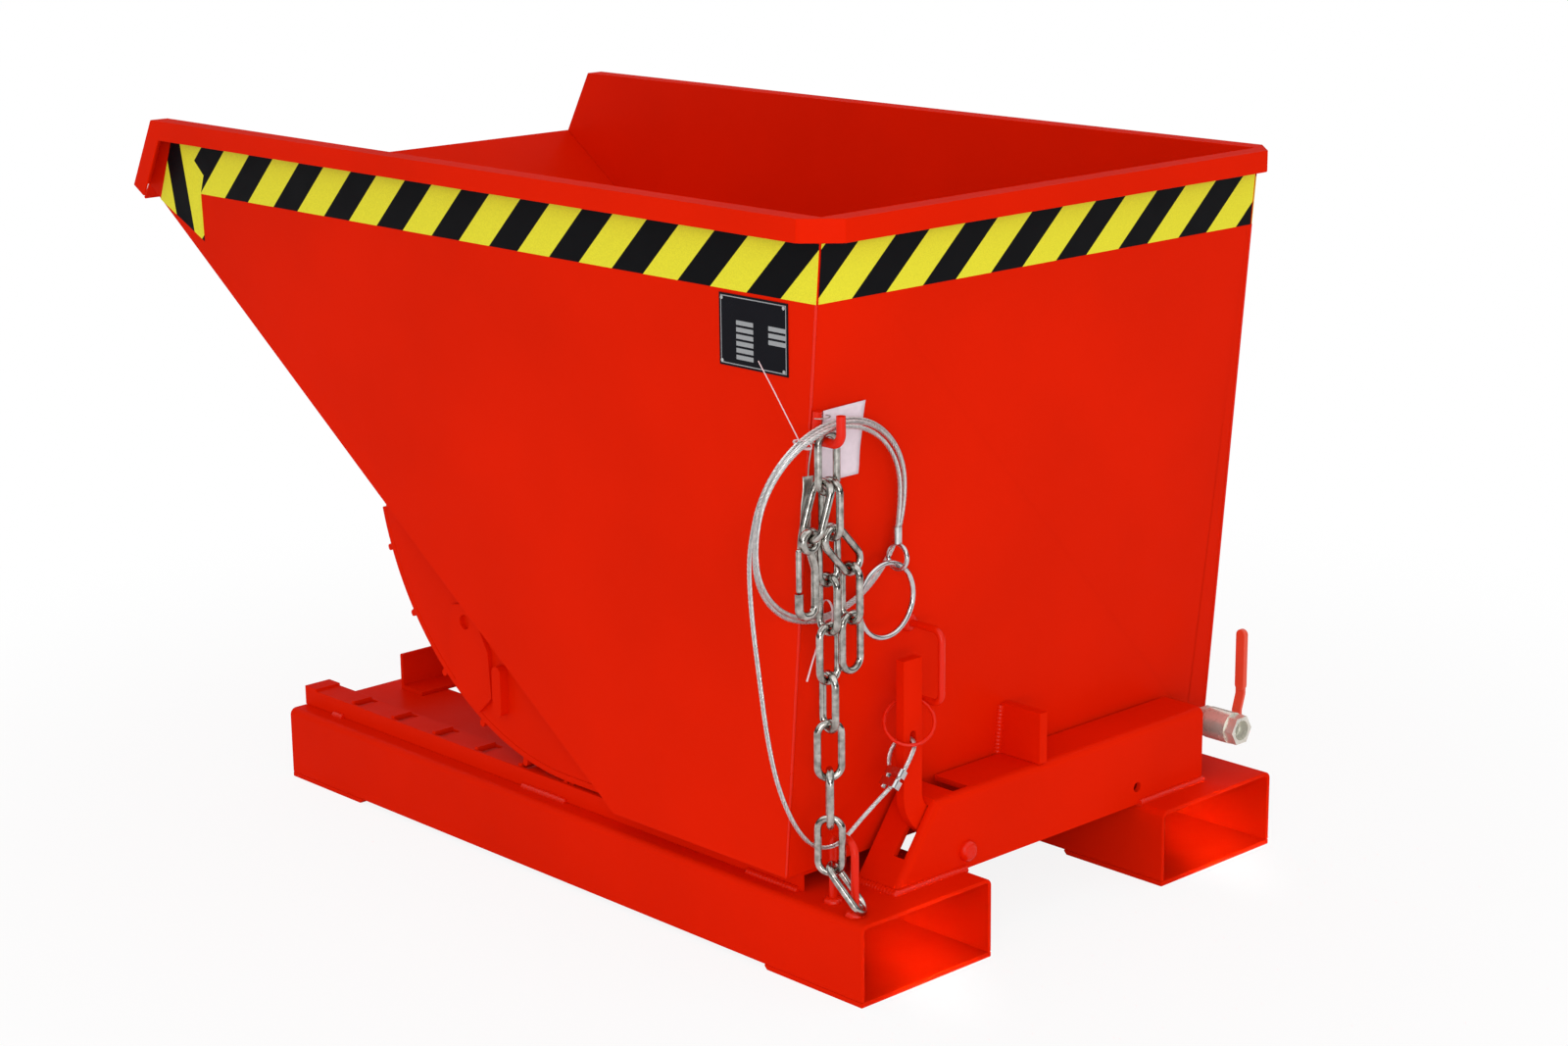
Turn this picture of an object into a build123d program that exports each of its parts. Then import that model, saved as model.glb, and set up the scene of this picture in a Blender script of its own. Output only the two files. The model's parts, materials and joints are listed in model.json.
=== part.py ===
"""Tipping hopper that rolls forward on toothed rockers, carried on two fork pockets.

Millimetres. +X is the rear, where the forks enter, -X the pouring lip, -Y the near side with the chain,
+Y the far side with the drain valve, +Z up. The origin is the middle of the base, on the floor.
"""
from build123d import *
from math import atan, atan2, cos, degrees, hypot, pi, radians, sin, sqrt, tan
import os

# Clearances
RUN_GAP = 0.3          # between pieces that roll or slide past each other
PIN_GAP = 0.05         # radial, round a pivot
LINK_GAP = 0.3         # between chain links in contact

# Fork pockets and the straps under their ends
BASE_WIDTH = 690.0
POCKET_LENGTH = 1040.0
POCKET_WIDTH = 200.0
POCKET_TOP = 92.0
POCKET_SHEET = 5.0
POCKET_BEND = 9.0
STRAP_LENGTH = 150.0
STRAP_THICKNESS = 6.0
STRAP_BEVEL = 4.0

# Slotted rails on the pockets
RAIL_OUTER_Y = 320.0
RAIL_WIDTH = 38.0
RAIL_HEIGHT = 22.0
RAIL_SHEET = 4.0
RAIL_REAR_X = 405.0
SLOT_COUNT = 6
SLOT_PITCH = 84.5
SLOT_LENGTH = 28.0
SLOT_WIDTH = 14.0
RIDGE_WIDTH = 6.0
RIDGE_HEIGHT = 3.0
RAIL_STOP_LENGTH = 24.0

# Front cross angle
ANGLE_WIDTH = 390.0
ANGLE_HEIGHT = 48.0
ANGLE_DEPTH = 44.0
ANGLE_SHEET = 5.0
ANGLE_SETBACK = 37.0   # from the front ends of the pockets

# Rear cross channel
CHANNEL_REAR_X = 482.0
CHANNEL_DEPTH = 60.0
CHANNEL_HEIGHT = 90.0
CHANNEL_SHEET = 6.0
CHANNEL_BEND = 9.0
CHANNEL_NEAR_FOOT_Y = -255.0
CHANNEL_NEAR_TOP_Y = -190.0
CHANNEL_FAR_Y = 262.0
SLANT_SLOT_WIDTH = 16.0
SLANT_SLOT_START = 39.0    # along the slant, from its foot
SLANT_SLOT_END = 103.0
KEEPER_NOTCH_WIDTH = 24.0
KEEPER_NOTCH_DEPTH = 50.0

# Latch lever, its pivot, spring and keeper
PIVOT_Y = -144.0
PIVOT_Z = 113.0
PIVOT_DIAMETER = 12.0
PIVOT_HEAD_DIAMETER = 24.0
PIVOT_HEAD_HEIGHT = 8.0
PIVOT_HEAD_ROUND = 6.4
PIVOT_NUT_FLATS = 19.0
PIVOT_NUT_HEIGHT = 10.0
LEVER_WIDTH = 28.0
LEVER_THICKNESS = 12.0
LEVER_FRONT_X = 458.0
LEVER_UPRIGHT_Y = -216.0
LEVER_KNEE_Z = 175.0
LEVER_TOP = 345.0
LEVER_KNEE_RADIUS = 40.0
LEVER_BOSS_RADIUS = 16.0
ROPE_HOLE_WIDTH = 9.0
ROPE_HOLE_LENGTH = 18.0
ROPE_HOLE_Z = 256.0
KEEPER_WIDTH = 12.0
KEEPER_OFFSET = 6.0        # its near face from the pivot, towards the near side
KEEPER_BOTTOM = 142.0
KEEPER_TOP = 158.0
KEEPER_REACH_X = 468.0
NOSE_GAP = 0.5
NOSE_HEIGHT = 12.0
SPRING_WIRE = 3.0
SPRING_RADIUS = 11.0
SPRING_PITCH = 4.0
SPRING_TURNS = 4
SECURING_RING_RADIUS = 27.0
SECURING_RING_WIRE = 4.0
SECURING_RING_Z = 274.0
SECURING_RING_TILT = 50.0  # of its plane from level
SECURING_RING_TURN = -45.0

# Rolling of the hopper
ROLL_RADIUS = 356.0
ROLL_X = 10.0              # contact with the rails at rest
ROCKER_ANGLE = 76.0
TREAD_WIDTH = 34.0
TREAD_THICKNESS = 8.0
WEB_THICKNESS = 8.0
TOOTH_WIDTH = 8.0
TOOTH_ROUND = 3.2
TOOTH_SIDE_GAP = 1.0       # between a tooth's end and the slot's
TOOTH_HEIGHT = 12.0
GUSSET_THICKNESS = 6.0
GUSSET_OUTLINE = [(0.770, 48.7), (0.681, 44.5), (0.746, 31.3), (0.880, 25.3), (0.970, 27.5), (0.970, 35.2),
                  (0.907, 41.7)]   # share of the rolling radius, and degrees from straight down
GUSSET_HOLE_RADIUS = 9.0
GUSSET_HOLE_PLACE = (0.753, 42.4)
FINGER_PLACE = (0.823, 23.3)
FINGER_WIDTH = 16.0
FINGER_LENGTH = 62.0
FINGER_THICKNESS = 12.0

# Hopper body
HOPPER_WIDTH = 700.0
HOPPER_TOP = 833.0
HOPPER_SHEET = 3.0
FLOOR_FRONT_X = 128.0
FLOOR_REAR_X = 412.0
SLOPE_ANGLE = 35.0
LIP_X = -770.0
SIDE_FRONT_TOP_X = -721.0
REAR_LEAN = 4.8
RIM_OUT = 22.5
RIM_HEIGHT = 25.0
RIM_SHEET = 3.0
CORNER_CUT = 35.0
LIP_FOLD = 25.0
ROLL_PLUG_RADIUS = 12.0

# Lugs, hook and staple on the rear wall
REST_LUG_Y = -20.0
REST_LUG_THICKNESS = 12.0
REST_LUG_TOP = 242.0
HOOK_ROD = 10.0
HOOK_Y = -345.0
HOOK_REACH_X = 494.0
HOOK_TIP_Z = 634.0
HOOK_BEND = 12.0
WELD_SINK = 0.5            # of a rod into the wall that it lies along
STAPLE_ROD = 8.0
STAPLE_Y = -185.0
STAPLE_X = 482.0
STAPLE_TOP = 372.0
STAPLE_BOTTOM = 290.0
STAPLE_BEND = 12.0

# Tape and plate
BAND_THICKNESS = 0.5
BAND_WIDTH = 62.0
BAND_GAP = 2.0             # below the rim
PLATE_LENGTH = 103.0
PLATE_HEIGHT = 76.0
PLATE_THICKNESS = 1.0
PLATE_REAR_X = 424.0
PLATE_DROP = 4.0
RIVET_RADIUS = 2.0
RIVET_HEAD = 1.2
RIVET_INSET = 5.0

# Drain valve
DRAIN_Y = 310.0
DRAIN_Z = 147.0
DRAIN_BORE = 19.0
NIPPLE_DIAMETER = 27.0
NIPPLE_LENGTH = 28.0
VALVE_BODY_DIAMETER = 38.0
VALVE_HEX_FLATS = 32.0
VALVE_HEX_LENGTH = 13.0
VALVE_LENGTH = 60.0
OUTLET_RADIUS = 12.0
OUTLET_LENGTH = 12.0
BALL_RADIUS = 13.5
STEM_DEPTH = 3.0           # of the stem's end in the ball
SEAT_WIDTH = 3.0
STEM_DIAMETER = 8.0
GLAND_DIAMETER = 17.0
GLAND_Y = 26.0             # from the pipe's axis to the gland's end
HANDLE_THICKNESS = 4.0
HANDLE_WIDTH = 12.0
HANDLE_LENGTH = 110.0
HANDLE_CRANK = 6.0         # outwards, between two heights above the stem
HANDLE_CRANK_Z = (13.0, 32.0)
HANDLE_END_ROUND = 5.5
HANDLE_NUT_FLATS = 12.0
HANDLE_NUT_HEIGHT = 5.0
GRIP_LENGTH = 76.0
GRIP_WIDTH = 14.0
GRIP_THICKNESS = 7.0
GRIP_CAP = 2.0             # over the handle's end

# Chain, eye and snap hook
CHAIN_WIRE = 8.0
LINK_INNER_LENGTH = 53.0
LINK_INNER_WIDTH = 18.0
CHAIN_X = 474.0
PAIR_GAP = 1.2             # between the two links on the hook's link
STRAND_LINKS = 8
SPARE_LINKS = 3
SPARE_TILT = 42.0
EYE_ROD = 9.0
EYE_FRONT = (447.0, -314.5)
EYE_REAR = (491.0, -325.5)
EYE_TOP = 176.0
EYE_BEND = 14.0
ANCHOR_RUN = 35.0          # of the lowest link, on the level, towards the eye's rear leg
SNAP_LINK_TILT = 20.0
SNAP_WIRE = 9.0
SNAP_EYE_RADIUS = 10.0
SNAP_LENGTH = 78.0
SNAP_BACK = 7.0            # its back from the eye's middle, towards the far side
SNAP_HOOK_RADIUS = 11.5
SNAP_BEND = 10.35
SNAP_TIP_HEIGHT = 26.0
GATE_DIAMETER = 6.0

# Pull rope
ROPE = 5.0
BEND_SHARE = 0.45          # of the shorter run beside a bend that the bend takes
ROPE_SIDES = [(1.2, 104.0), (-7.5, -93.0), (-12.5, 124.0), (-14.0, -89.0), (-20.5, 133.0), (-22.5, -86.0)]
# x and y of the ends of the coil's half turns, from the chain and the hook
ROPE_LEAN = 8.5            # of the coil's plane, its foot towards the wall
ROPE_START_DROP = 27.0
ROPE_FALL = [(447, -430.5, 482), (449, -429, 430), (454, -425, 372), (458, -418.5, 303), (460, -406, 246.5),
             (457, -381, 197.6), (450, -351, 166), (450.5, -330, 156.5), (457.5, -312, 160), (464, -281, 188),
             (473.2, -256.6, 210.4)]
ROPE_LOOP = [(473.5, -256, 211), (479, -246.5, 221), (481, -235, 236), (477, -216.5, 256), (451, -216.5, 256),
             (449, -233, 238), (465, -246, 221), (464.5, -257, 210)]
CLIP_HEIGHTS = (215.0, 225.0)
CLIP_MIDDLE_X = 471.0
CLIP_FOOT_Y = -251.7
CLIP_LEAN = 0.85           # of the rope in the clips, across for each unit up
CLIP_LENGTH = 24.0
CLIP_WIDTH = 12.0
CLIP_ROUND = 3.6
CLIP_HEIGHT = 9.0
ROPE_EYE_RADIUS = 14.0
FERRULE_DIAMETER = 10.0
FERRULE_LENGTH = 18.0
PULL_RING_RADIUS = 40.0
PULL_RING_WIRE = 6.0
PULL_RING_LEAN = 25.0

# Worked out from the sizes above
NEAR, FAR = -1, 1
POCKET_Y = (BASE_WIDTH - POCKET_WIDTH) / 2
POCKET_END = POCKET_LENGTH / 2
RAIL_TOP = POCKET_TOP + RAIL_HEIGHT
FLOOR_Z = RAIL_TOP + RIDGE_HEIGHT + RUN_GAP
ROLL_Z = FLOOR_Z + ROLL_RADIUS
SLOT_X = [ROLL_X - number * SLOT_PITCH for number in range(SLOT_COUNT)]
SIDE_Y = HOPPER_WIDTH / 2
INSIDE_Y = SIDE_Y - HOPPER_SHEET
CHANNEL_TOP = POCKET_TOP + CHANNEL_HEIGHT
RIM_Y = SIDE_Y + RIM_OUT
BAND_TOP = HOPPER_TOP - RIM_HEIGHT - BAND_GAP
BAND_BOTTOM = BAND_TOP - BAND_WIDTH


def slope_z(x):
    """Height of the front plate's underside."""
    return FLOOR_Z + (FLOOR_FRONT_X - x) * tan(radians(SLOPE_ANGLE))


def slope_x(z):
    return FLOOR_FRONT_X - (z - FLOOR_Z) / tan(radians(SLOPE_ANGLE))


def rear_x(z):
    """Outer face of the leaning rear wall."""
    return FLOOR_REAR_X + (z - FLOOR_Z) * tan(radians(REAR_LEAN))


LIP_Z = slope_z(LIP_X)
REAR_TOP_X = rear_x(HOPPER_TOP)
RIM_REAR_X = REAR_TOP_X + RIM_OUT

nodes = {}


def keep(name, *solids):
    """File solids under a node's name."""
    nodes[name] = solids[0] if len(solids) == 1 else Compound(children=list(solids))


def block(x, y, z):
    """Box between pairs of limits."""
    size = Box(x[1] - x[0], y[1] - y[0], z[1] - z[0])
    return Pos((x[0] + x[1]) / 2, (y[0] + y[1]) / 2, (z[0] + z[1]) / 2) * size


def side_plate(outline, y):
    """Plate with a closed outline of curves or (x, z) points, between two values of y."""
    face = make_face(Polyline(*outline, close=True) if isinstance(outline, list) else outline)
    plane = Plane(origin=(0, y[0], 0), x_dir=(1, 0, 0), z_dir=(0, -1, 0))
    return extrude(plane * face, -(y[1] - y[0]))


def cross_plate(outline, x):
    """Plate with a closed outline of (y, z) points or a face, between two values of x."""
    face = outline if isinstance(outline, Sketch) else make_face(Polyline(*outline, close=True))
    plane = Plane(origin=(x[0], 0, 0), x_dir=(0, 1, 0), z_dir=(1, 0, 0))
    return extrude(plane * face, x[1] - x[0])


def floor_plate(outline, z):
    """Plate with a closed outline of (x, y) points, between two heights."""
    return extrude(Pos(0, 0, z[0]) * make_face(Polyline(*outline, close=True)), z[1] - z[0])


def bar_x(diameter, x, y, z):
    """Round bar along X."""
    return Pos((x[0] + x[1]) / 2, y, z) * Rot(0, 90, 0) * Cylinder(diameter / 2, x[1] - x[0])


def bar_y(diameter, x, y, z):
    """Round bar along Y."""
    return Pos(x, (y[0] + y[1]) / 2, z) * Rot(90, 0, 0) * Cylinder(diameter / 2, y[1] - y[0])


def tube_along(path, diameter):
    """Round wire swept along a path."""
    return sweep(Plane(origin=path @ 0, z_dir=path % 0) * Circle(diameter / 2), path=path)


def bent_rod(points, bend, diameter):
    return tube_along(FilletPolyline(*points, radius=bend), diameter)


def offset_line(points, distance):
    """The same bent line moved to its right by a distance, with mitred corners."""
    normals = []
    for (ax, az), (bx, bz) in zip(points, points[1:]):
        length = hypot(bx - ax, bz - az)
        normals.append(((bz - az) / length, -(bx - ax) / length))
    moved = []
    for number, (x, z) in enumerate(points):
        first = normals[max(number - 1, 0)]
        second = normals[min(number, len(normals) - 1)]
        share = distance / (1 + first[0] * second[0] + first[1] * second[1])
        moved.append((x + share * (first[0] + second[0]), z + share * (first[1] + second[1])))
    return moved


def strip(points, width):
    """Closed outline of a band of constant width to the right of a bent line."""
    return points + offset_line(points, width)[::-1]


def mirrored(side, shape):
    """Shape drawn for the far side, or its mirror image for the near side."""
    return shape if side == FAR else mirror(shape, Plane.XZ)


# Base
def fork_pocket():
    y = (POCKET_Y - POCKET_WIDTH / 2, POCKET_Y + POCKET_WIDTH / 2)
    outer = block((-POCKET_END, POCKET_END), y, (STRAP_THICKNESS, POCKET_TOP))
    top_edges = outer.edges().filter_by(Axis.X).group_by(Axis.Z)[-1]
    inner = block((-POCKET_END, POCKET_END), (y[0] + POCKET_SHEET, y[1] - POCKET_SHEET),
                  (STRAP_THICKNESS, POCKET_TOP - POCKET_SHEET))
    inner_edges = inner.edges().filter_by(Axis.X).group_by(Axis.Z)[-1]
    return fillet(top_edges, POCKET_BEND) - fillet(inner_edges, POCKET_BEND - POCKET_SHEET)


def strap(end):
    """Flat strap that closes a pocket underneath, bevelled where it ends under the pocket."""
    outline = [(POCKET_END, 0), (POCKET_END, STRAP_THICKNESS), (POCKET_END - STRAP_LENGTH, STRAP_THICKNESS),
               (POCKET_END - STRAP_LENGTH, STRAP_BEVEL), (POCKET_END - STRAP_LENGTH + STRAP_BEVEL, 0)]
    y = (POCKET_Y - POCKET_WIDTH / 2, POCKET_Y + POCKET_WIDTH / 2)
    return side_plate([(end * x, z) for x, z in outline], y)


def rack_rail():
    inner_y = RAIL_OUTER_Y - RAIL_WIDTH
    section = [(inner_y, RAIL_TOP), (RAIL_OUTER_Y, RAIL_TOP), (RAIL_OUTER_Y, POCKET_TOP)]
    rail = cross_plate(strip(section, RAIL_SHEET), (-POCKET_END, RAIL_REAR_X))
    middle = RAIL_OUTER_Y - RAIL_WIDTH / 2
    slot_y = (middle - SLOT_LENGTH / 2, middle + SLOT_LENGTH / 2)
    for x in SLOT_X:
        rail -= block((x - SLOT_WIDTH / 2, x + SLOT_WIDTH / 2), slot_y, (RAIL_TOP - RAIL_SHEET, RAIL_TOP))
        front = x - SLOT_WIDTH / 2
        rail += block((front - RIDGE_WIDTH, front), slot_y, (RAIL_TOP, RAIL_TOP + RIDGE_HEIGHT))
    rail += block((-POCKET_END, -POCKET_END + RAIL_STOP_LENGTH), (inner_y, RAIL_OUTER_Y),
                  (RAIL_TOP, RAIL_TOP + RIDGE_HEIGHT))
    return rail


def front_cross_angle():
    x = -POCKET_END + ANGLE_SETBACK
    section = [(x, POCKET_TOP + ANGLE_HEIGHT), (x, POCKET_TOP), (x + ANGLE_DEPTH, POCKET_TOP)]
    return side_plate(strip(section, -ANGLE_SHEET), (-ANGLE_WIDTH / 2, ANGLE_WIDTH / 2))


def slant_plane():
    """Plane on the slanted near end of the rear channel: x up the slant, z outwards."""
    run, rise = CHANNEL_NEAR_TOP_Y - CHANNEL_NEAR_FOOT_Y, CHANNEL_HEIGHT
    return Plane(origin=(LEVER_FRONT_X + LEVER_THICKNESS / 2, CHANNEL_NEAR_FOOT_Y, POCKET_TOP),
                 x_dir=(0, run, rise), z_dir=(0, -rise, run))


def rear_cross_channel():
    """Face plate with a flange bent forward along its top and down its slanted near end."""
    edge = [(CHANNEL_NEAR_FOOT_Y, POCKET_TOP), (CHANNEL_NEAR_TOP_Y, CHANNEL_TOP),
            (CHANNEL_FAR_Y, CHANNEL_TOP), (CHANNEL_FAR_Y, POCKET_TOP)]
    face = cross_plate(edge, (CHANNEL_REAR_X - CHANNEL_SHEET, CHANNEL_REAR_X))
    front_x = CHANNEL_REAR_X - CHANNEL_DEPTH
    flange = cross_plate(strip(edge[:3], CHANNEL_SHEET), (front_x, CHANNEL_REAR_X - CHANNEL_SHEET))
    solid = cross_plate(edge, (front_x, CHANNEL_REAR_X))
    bends = [bend for bend in solid.edges().group_by(Axis.X)[-1]
             if bend.center().Z > POCKET_TOP + CHANNEL_BEND and bend.center().Y < CHANNEL_FAR_Y - CHANNEL_BEND]
    channel = (face + flange) & fillet(bends, CHANNEL_BEND)
    middle = (SLANT_SLOT_START + SLANT_SLOT_END) / 2
    slot = Box(SLANT_SLOT_END - SLANT_SLOT_START, SLANT_SLOT_WIDTH, 4 * CHANNEL_SHEET)
    channel -= slant_plane() * Pos(middle, 0, 0) * slot
    notch_y = PIVOT_Y - KEEPER_OFFSET + KEEPER_WIDTH / 2
    channel -= block((front_x, front_x + KEEPER_NOTCH_DEPTH),
                     (notch_y - KEEPER_NOTCH_WIDTH / 2, notch_y + KEEPER_NOTCH_WIDTH / 2),
                     (CHANNEL_TOP - CHANNEL_SHEET, CHANNEL_TOP))
    channel -= block((front_x, CHANNEL_REAR_X), (CHANNEL_NEAR_FOOT_Y, CHANNEL_FAR_Y), (0, POCKET_TOP))
    hole = bar_x(PIVOT_DIAMETER + 2 * PIN_GAP, (front_x, CHANNEL_REAR_X), PIVOT_Y, PIVOT_Z)
    return channel - hole - mirror(hole, Plane.XZ)


def pivot_bolt():
    """Dome-headed bolt that the lever turns on."""
    nut_x = LEVER_FRONT_X - SPRING_PITCH * SPRING_TURNS - SPRING_WIRE - 2 * RUN_GAP
    shank = bar_x(PIVOT_DIAMETER, (nut_x - PIVOT_NUT_HEIGHT, CHANNEL_REAR_X), PIVOT_Y, PIVOT_Z)
    dome = Pos(CHANNEL_REAR_X, PIVOT_Y, PIVOT_Z) * Rot(0, 90, 0) * Cylinder(
        PIVOT_HEAD_DIAMETER / 2, PIVOT_HEAD_HEIGHT, align=(Align.CENTER, Align.CENTER, Align.MIN))
    rim = dome.edges().group_by(Axis.X)[-1]
    bolt = shank + fillet(rim, PIVOT_HEAD_ROUND)
    hexagon = RegularPolygon(PIVOT_NUT_FLATS / 2, 6, major_radius=False) - Circle(PIVOT_DIAMETER / 2)
    plane = Plane(origin=(nut_x - PIVOT_NUT_HEIGHT, PIVOT_Y, PIVOT_Z), x_dir=(0, 1, 0), z_dir=(1, 0, 0))
    return bolt, extrude(plane * hexagon, PIVOT_NUT_HEIGHT)


def biarc(start, start_way, end, end_way):
    """Two arcs that leave one point and reach another in given directions."""
    chord = end - start
    both = start_way + end_way
    turn = 1 - start_way.dot(end_way)
    along = chord.dot(both)
    reach = (sqrt(along * along + 2 * turn * chord.dot(chord)) - along) / (2 * turn)
    middle = (start + end + (start_way - end_way) * reach) / 2
    way = (end - end_way * reach - start - start_way * reach).normalized()
    return [TangentArc(start, middle, tangent=start_way), TangentArc(middle, end, tangent=way)]


def least_gap(path, wire, turn_length, samples=400):
    """Least distance between the surfaces of neighbouring turns, measured on points of the path."""
    points = [path @ (number / samples) for number in range(samples + 1)]
    skip = int(samples * turn_length / path.length / 2)
    nearest = min((a - b).length for i, a in enumerate(points) for b in points[i + skip:])
    return nearest - wire


def latch_spring():
    """Coil round the pivot between the lever and the nut."""
    arcs = []
    x = LEVER_FRONT_X - SPRING_WIRE / 2 - RUN_GAP
    rises = Vector(-SPRING_PITCH / (2 * pi * SPRING_RADIUS), 0, 0)
    for half in range(2 * SPRING_TURNS):
        side = 1 if half % 2 == 0 else -1
        start = Vector(x - half * SPRING_PITCH / 2, PIVOT_Y + side * SPRING_RADIUS, PIVOT_Z)
        end = Vector(x - (half + 1) * SPRING_PITCH / 2, PIVOT_Y - side * SPRING_RADIUS, PIVOT_Z)
        start_way = (Vector(0, 0, side) + rises).normalized()
        end_way = (Vector(0, 0, -side) + rises).normalized()
        arcs += biarc(start, start_way, end, end_way)
    path = Wire(arcs)
    print("latch spring: least gap", round(least_gap(path, SPRING_WIRE, 2 * pi * SPRING_RADIUS), 2))
    return tube_along(path, SPRING_WIRE)


def chain_eye():
    top = EYE_TOP - EYE_ROD / 2
    points = [(*EYE_FRONT, POCKET_TOP), (*EYE_FRONT, top), (*EYE_REAR, top), (*EYE_REAR, POCKET_TOP)]
    return bent_rod(points, EYE_BEND, EYE_ROD)


# Latch
def latch_lever():
    """Flat bar on the pivot, through the slanted end and up, with a nose over the keeper."""
    arm = trace(FilletPolyline((PIVOT_Y, PIVOT_Z), (LEVER_UPRIGHT_Y, LEVER_KNEE_Z), (LEVER_UPRIGHT_Y, LEVER_TOP),
                               radius=LEVER_KNEE_RADIUS), LEVER_WIDTH)
    nose_tip = PIVOT_Y - KEEPER_OFFSET - NOSE_GAP
    nose_z = KEEPER_TOP + RUN_GAP
    nose_root = LEVER_UPRIGHT_Y + LEVER_WIDTH
    nose = make_face(Polyline((nose_root, nose_z), (nose_tip, nose_z), (nose_tip, nose_z + NOSE_HEIGHT),
                              (nose_root, nose_z + NOSE_HEIGHT), close=True))
    face = arm + nose + Pos(PIVOT_Y, PIVOT_Z) * Circle(LEVER_BOSS_RADIUS)
    face -= Pos(PIVOT_Y, PIVOT_Z) * Circle(PIVOT_DIAMETER / 2 + PIN_GAP)
    face -= Pos(LEVER_UPRIGHT_Y, ROPE_HOLE_Z) * Rot(0, 0, 90) * SlotOverall(ROPE_HOLE_LENGTH, ROPE_HOLE_WIDTH)
    plane = Plane(origin=(LEVER_FRONT_X, 0, 0), x_dir=(0, 1, 0), z_dir=(1, 0, 0))
    return extrude(plane * face, LEVER_THICKNESS)


def securing_ring():
    ring = Torus(SECURING_RING_RADIUS, SECURING_RING_WIRE / 2)
    place = Pos(LEVER_FRONT_X + LEVER_THICKNESS / 2, LEVER_UPRIGHT_Y, SECURING_RING_Z)
    return place * Rot(0, 0, SECURING_RING_TURN) * Rot(0, SECURING_RING_TILT, 0) * ring


# Hopper
def side_wall():
    outline = [(FLOOR_REAR_X, FLOOR_Z), (FLOOR_FRONT_X, FLOOR_Z), (LIP_X, LIP_Z),
               (SIDE_FRONT_TOP_X, HOPPER_TOP), (REAR_TOP_X, HOPPER_TOP)]
    return side_plate(outline, (INSIDE_Y, SIDE_Y))


def rear_wall():
    line = [(REAR_TOP_X, HOPPER_TOP), (FLOOR_REAR_X, FLOOR_Z)]
    thick = HOPPER_SHEET / cos(radians(REAR_LEAN))
    outline = line + [(x - thick, z) for x, z in line[::-1]]
    wall = side_plate(outline, (-INSIDE_Y, INSIDE_Y))
    return wall - bar_x(DRAIN_BORE, (FLOOR_REAR_X - NIPPLE_LENGTH, FLOOR_REAR_X + NIPPLE_LENGTH), DRAIN_Y, DRAIN_Z)


def floor_and_front_plate():
    thick = HOPPER_SHEET / cos(radians(REAR_LEAN))
    line = [(FLOOR_REAR_X - thick, FLOOR_Z), (FLOOR_FRONT_X, FLOOR_Z), (LIP_X, LIP_Z)]
    upper = offset_line(line, HOPPER_SHEET)
    upper[0] = (rear_x(FLOOR_Z + HOPPER_SHEET) - thick, FLOOR_Z + HOPPER_SHEET)
    return side_plate(line + upper[::-1], (-INSIDE_Y, INSIDE_Y))


def front_lip():
    """Edge of the front plate folded down."""
    along = (cos(radians(SLOPE_ANGLE)), -sin(radians(SLOPE_ANGLE)))
    fold = (LIP_X - LIP_FOLD * sin(radians(SLOPE_ANGLE)), LIP_Z - LIP_FOLD * cos(radians(SLOPE_ANGLE)))
    outline = [(LIP_X, LIP_Z), fold]
    outline += [(x + HOPPER_SHEET * along[0], z + HOPPER_SHEET * along[1]) for x, z in outline[::-1]]
    return side_plate(outline, (-SIDE_Y, SIDE_Y))


def side_rim():
    """Flange turned out along the top and the front edge of a side, with a lip turned back."""
    line = [(LIP_X, LIP_Z), (SIDE_FRONT_TOP_X, HOPPER_TOP), (RIM_REAR_X - CORNER_CUT, HOPPER_TOP)]
    flange = side_plate(strip(line, RIM_SHEET), (SIDE_Y, RIM_Y - RIM_SHEET))
    return flange + side_plate(strip(line, RIM_HEIGHT), (RIM_Y - RIM_SHEET, RIM_Y))


def rear_rim():
    y = RIM_Y - CORNER_CUT
    section = [(REAR_TOP_X, HOPPER_TOP), (RIM_REAR_X, HOPPER_TOP), (RIM_REAR_X, HOPPER_TOP - RIM_HEIGHT)]
    return side_plate(strip(section, RIM_SHEET), (-y, y))


def corner_cap():
    """Chamfered piece that joins a side rim to the rear rim."""
    cut_x, cut_y = RIM_REAR_X - CORNER_CUT, RIM_Y - CORNER_CUT
    top = [(cut_x, RIM_Y), (RIM_REAR_X, cut_y), (REAR_TOP_X, cut_y), (REAR_TOP_X, SIDE_Y), (cut_x, SIDE_Y)]
    cap = floor_plate(top, (HOPPER_TOP - RIM_SHEET, HOPPER_TOP))
    inset = RIM_SHEET * sqrt(2)
    lip = [(cut_x, RIM_Y), (RIM_REAR_X, cut_y), (RIM_REAR_X - inset, cut_y), (cut_x, RIM_Y - inset)]
    return cap + floor_plate(lip, (HOPPER_TOP - RIM_HEIGHT, HOPPER_TOP))


def rocker_point(share, angle):
    """Point at a share of the rolling radius, at an angle from straight down towards the front."""
    radius = share * ROLL_RADIUS
    return (ROLL_X - radius * sin(radians(angle)), ROLL_Z - radius * cos(radians(angle)))


def rocker_arc(radius, start, end):
    """Arc about the rolling centre, with angles from straight down towards the front."""
    share = radius / ROLL_RADIUS
    return ThreePointArc(*[rocker_point(share, angle) for angle in (start, (start + end) / 2, end)])


ROCKER_Y = RAIL_OUTER_Y - RAIL_WIDTH / 2 + TREAD_WIDTH / 2
FOOT_TOP = FLOOR_Z + TREAD_THICKNESS


def rocker_web():
    arc = rocker_arc(ROLL_RADIUS - TREAD_THICKNESS, 0, ROCKER_ANGLE)
    tip = arc @ 1
    rest = Polyline(tip, (tip.X, slope_z(tip.X)), (slope_x(FOOT_TOP), FOOT_TOP), arc @ 0)
    return side_plate(Curve() + [arc, rest], (ROCKER_Y - WEB_THICKNESS, ROCKER_Y))


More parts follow.
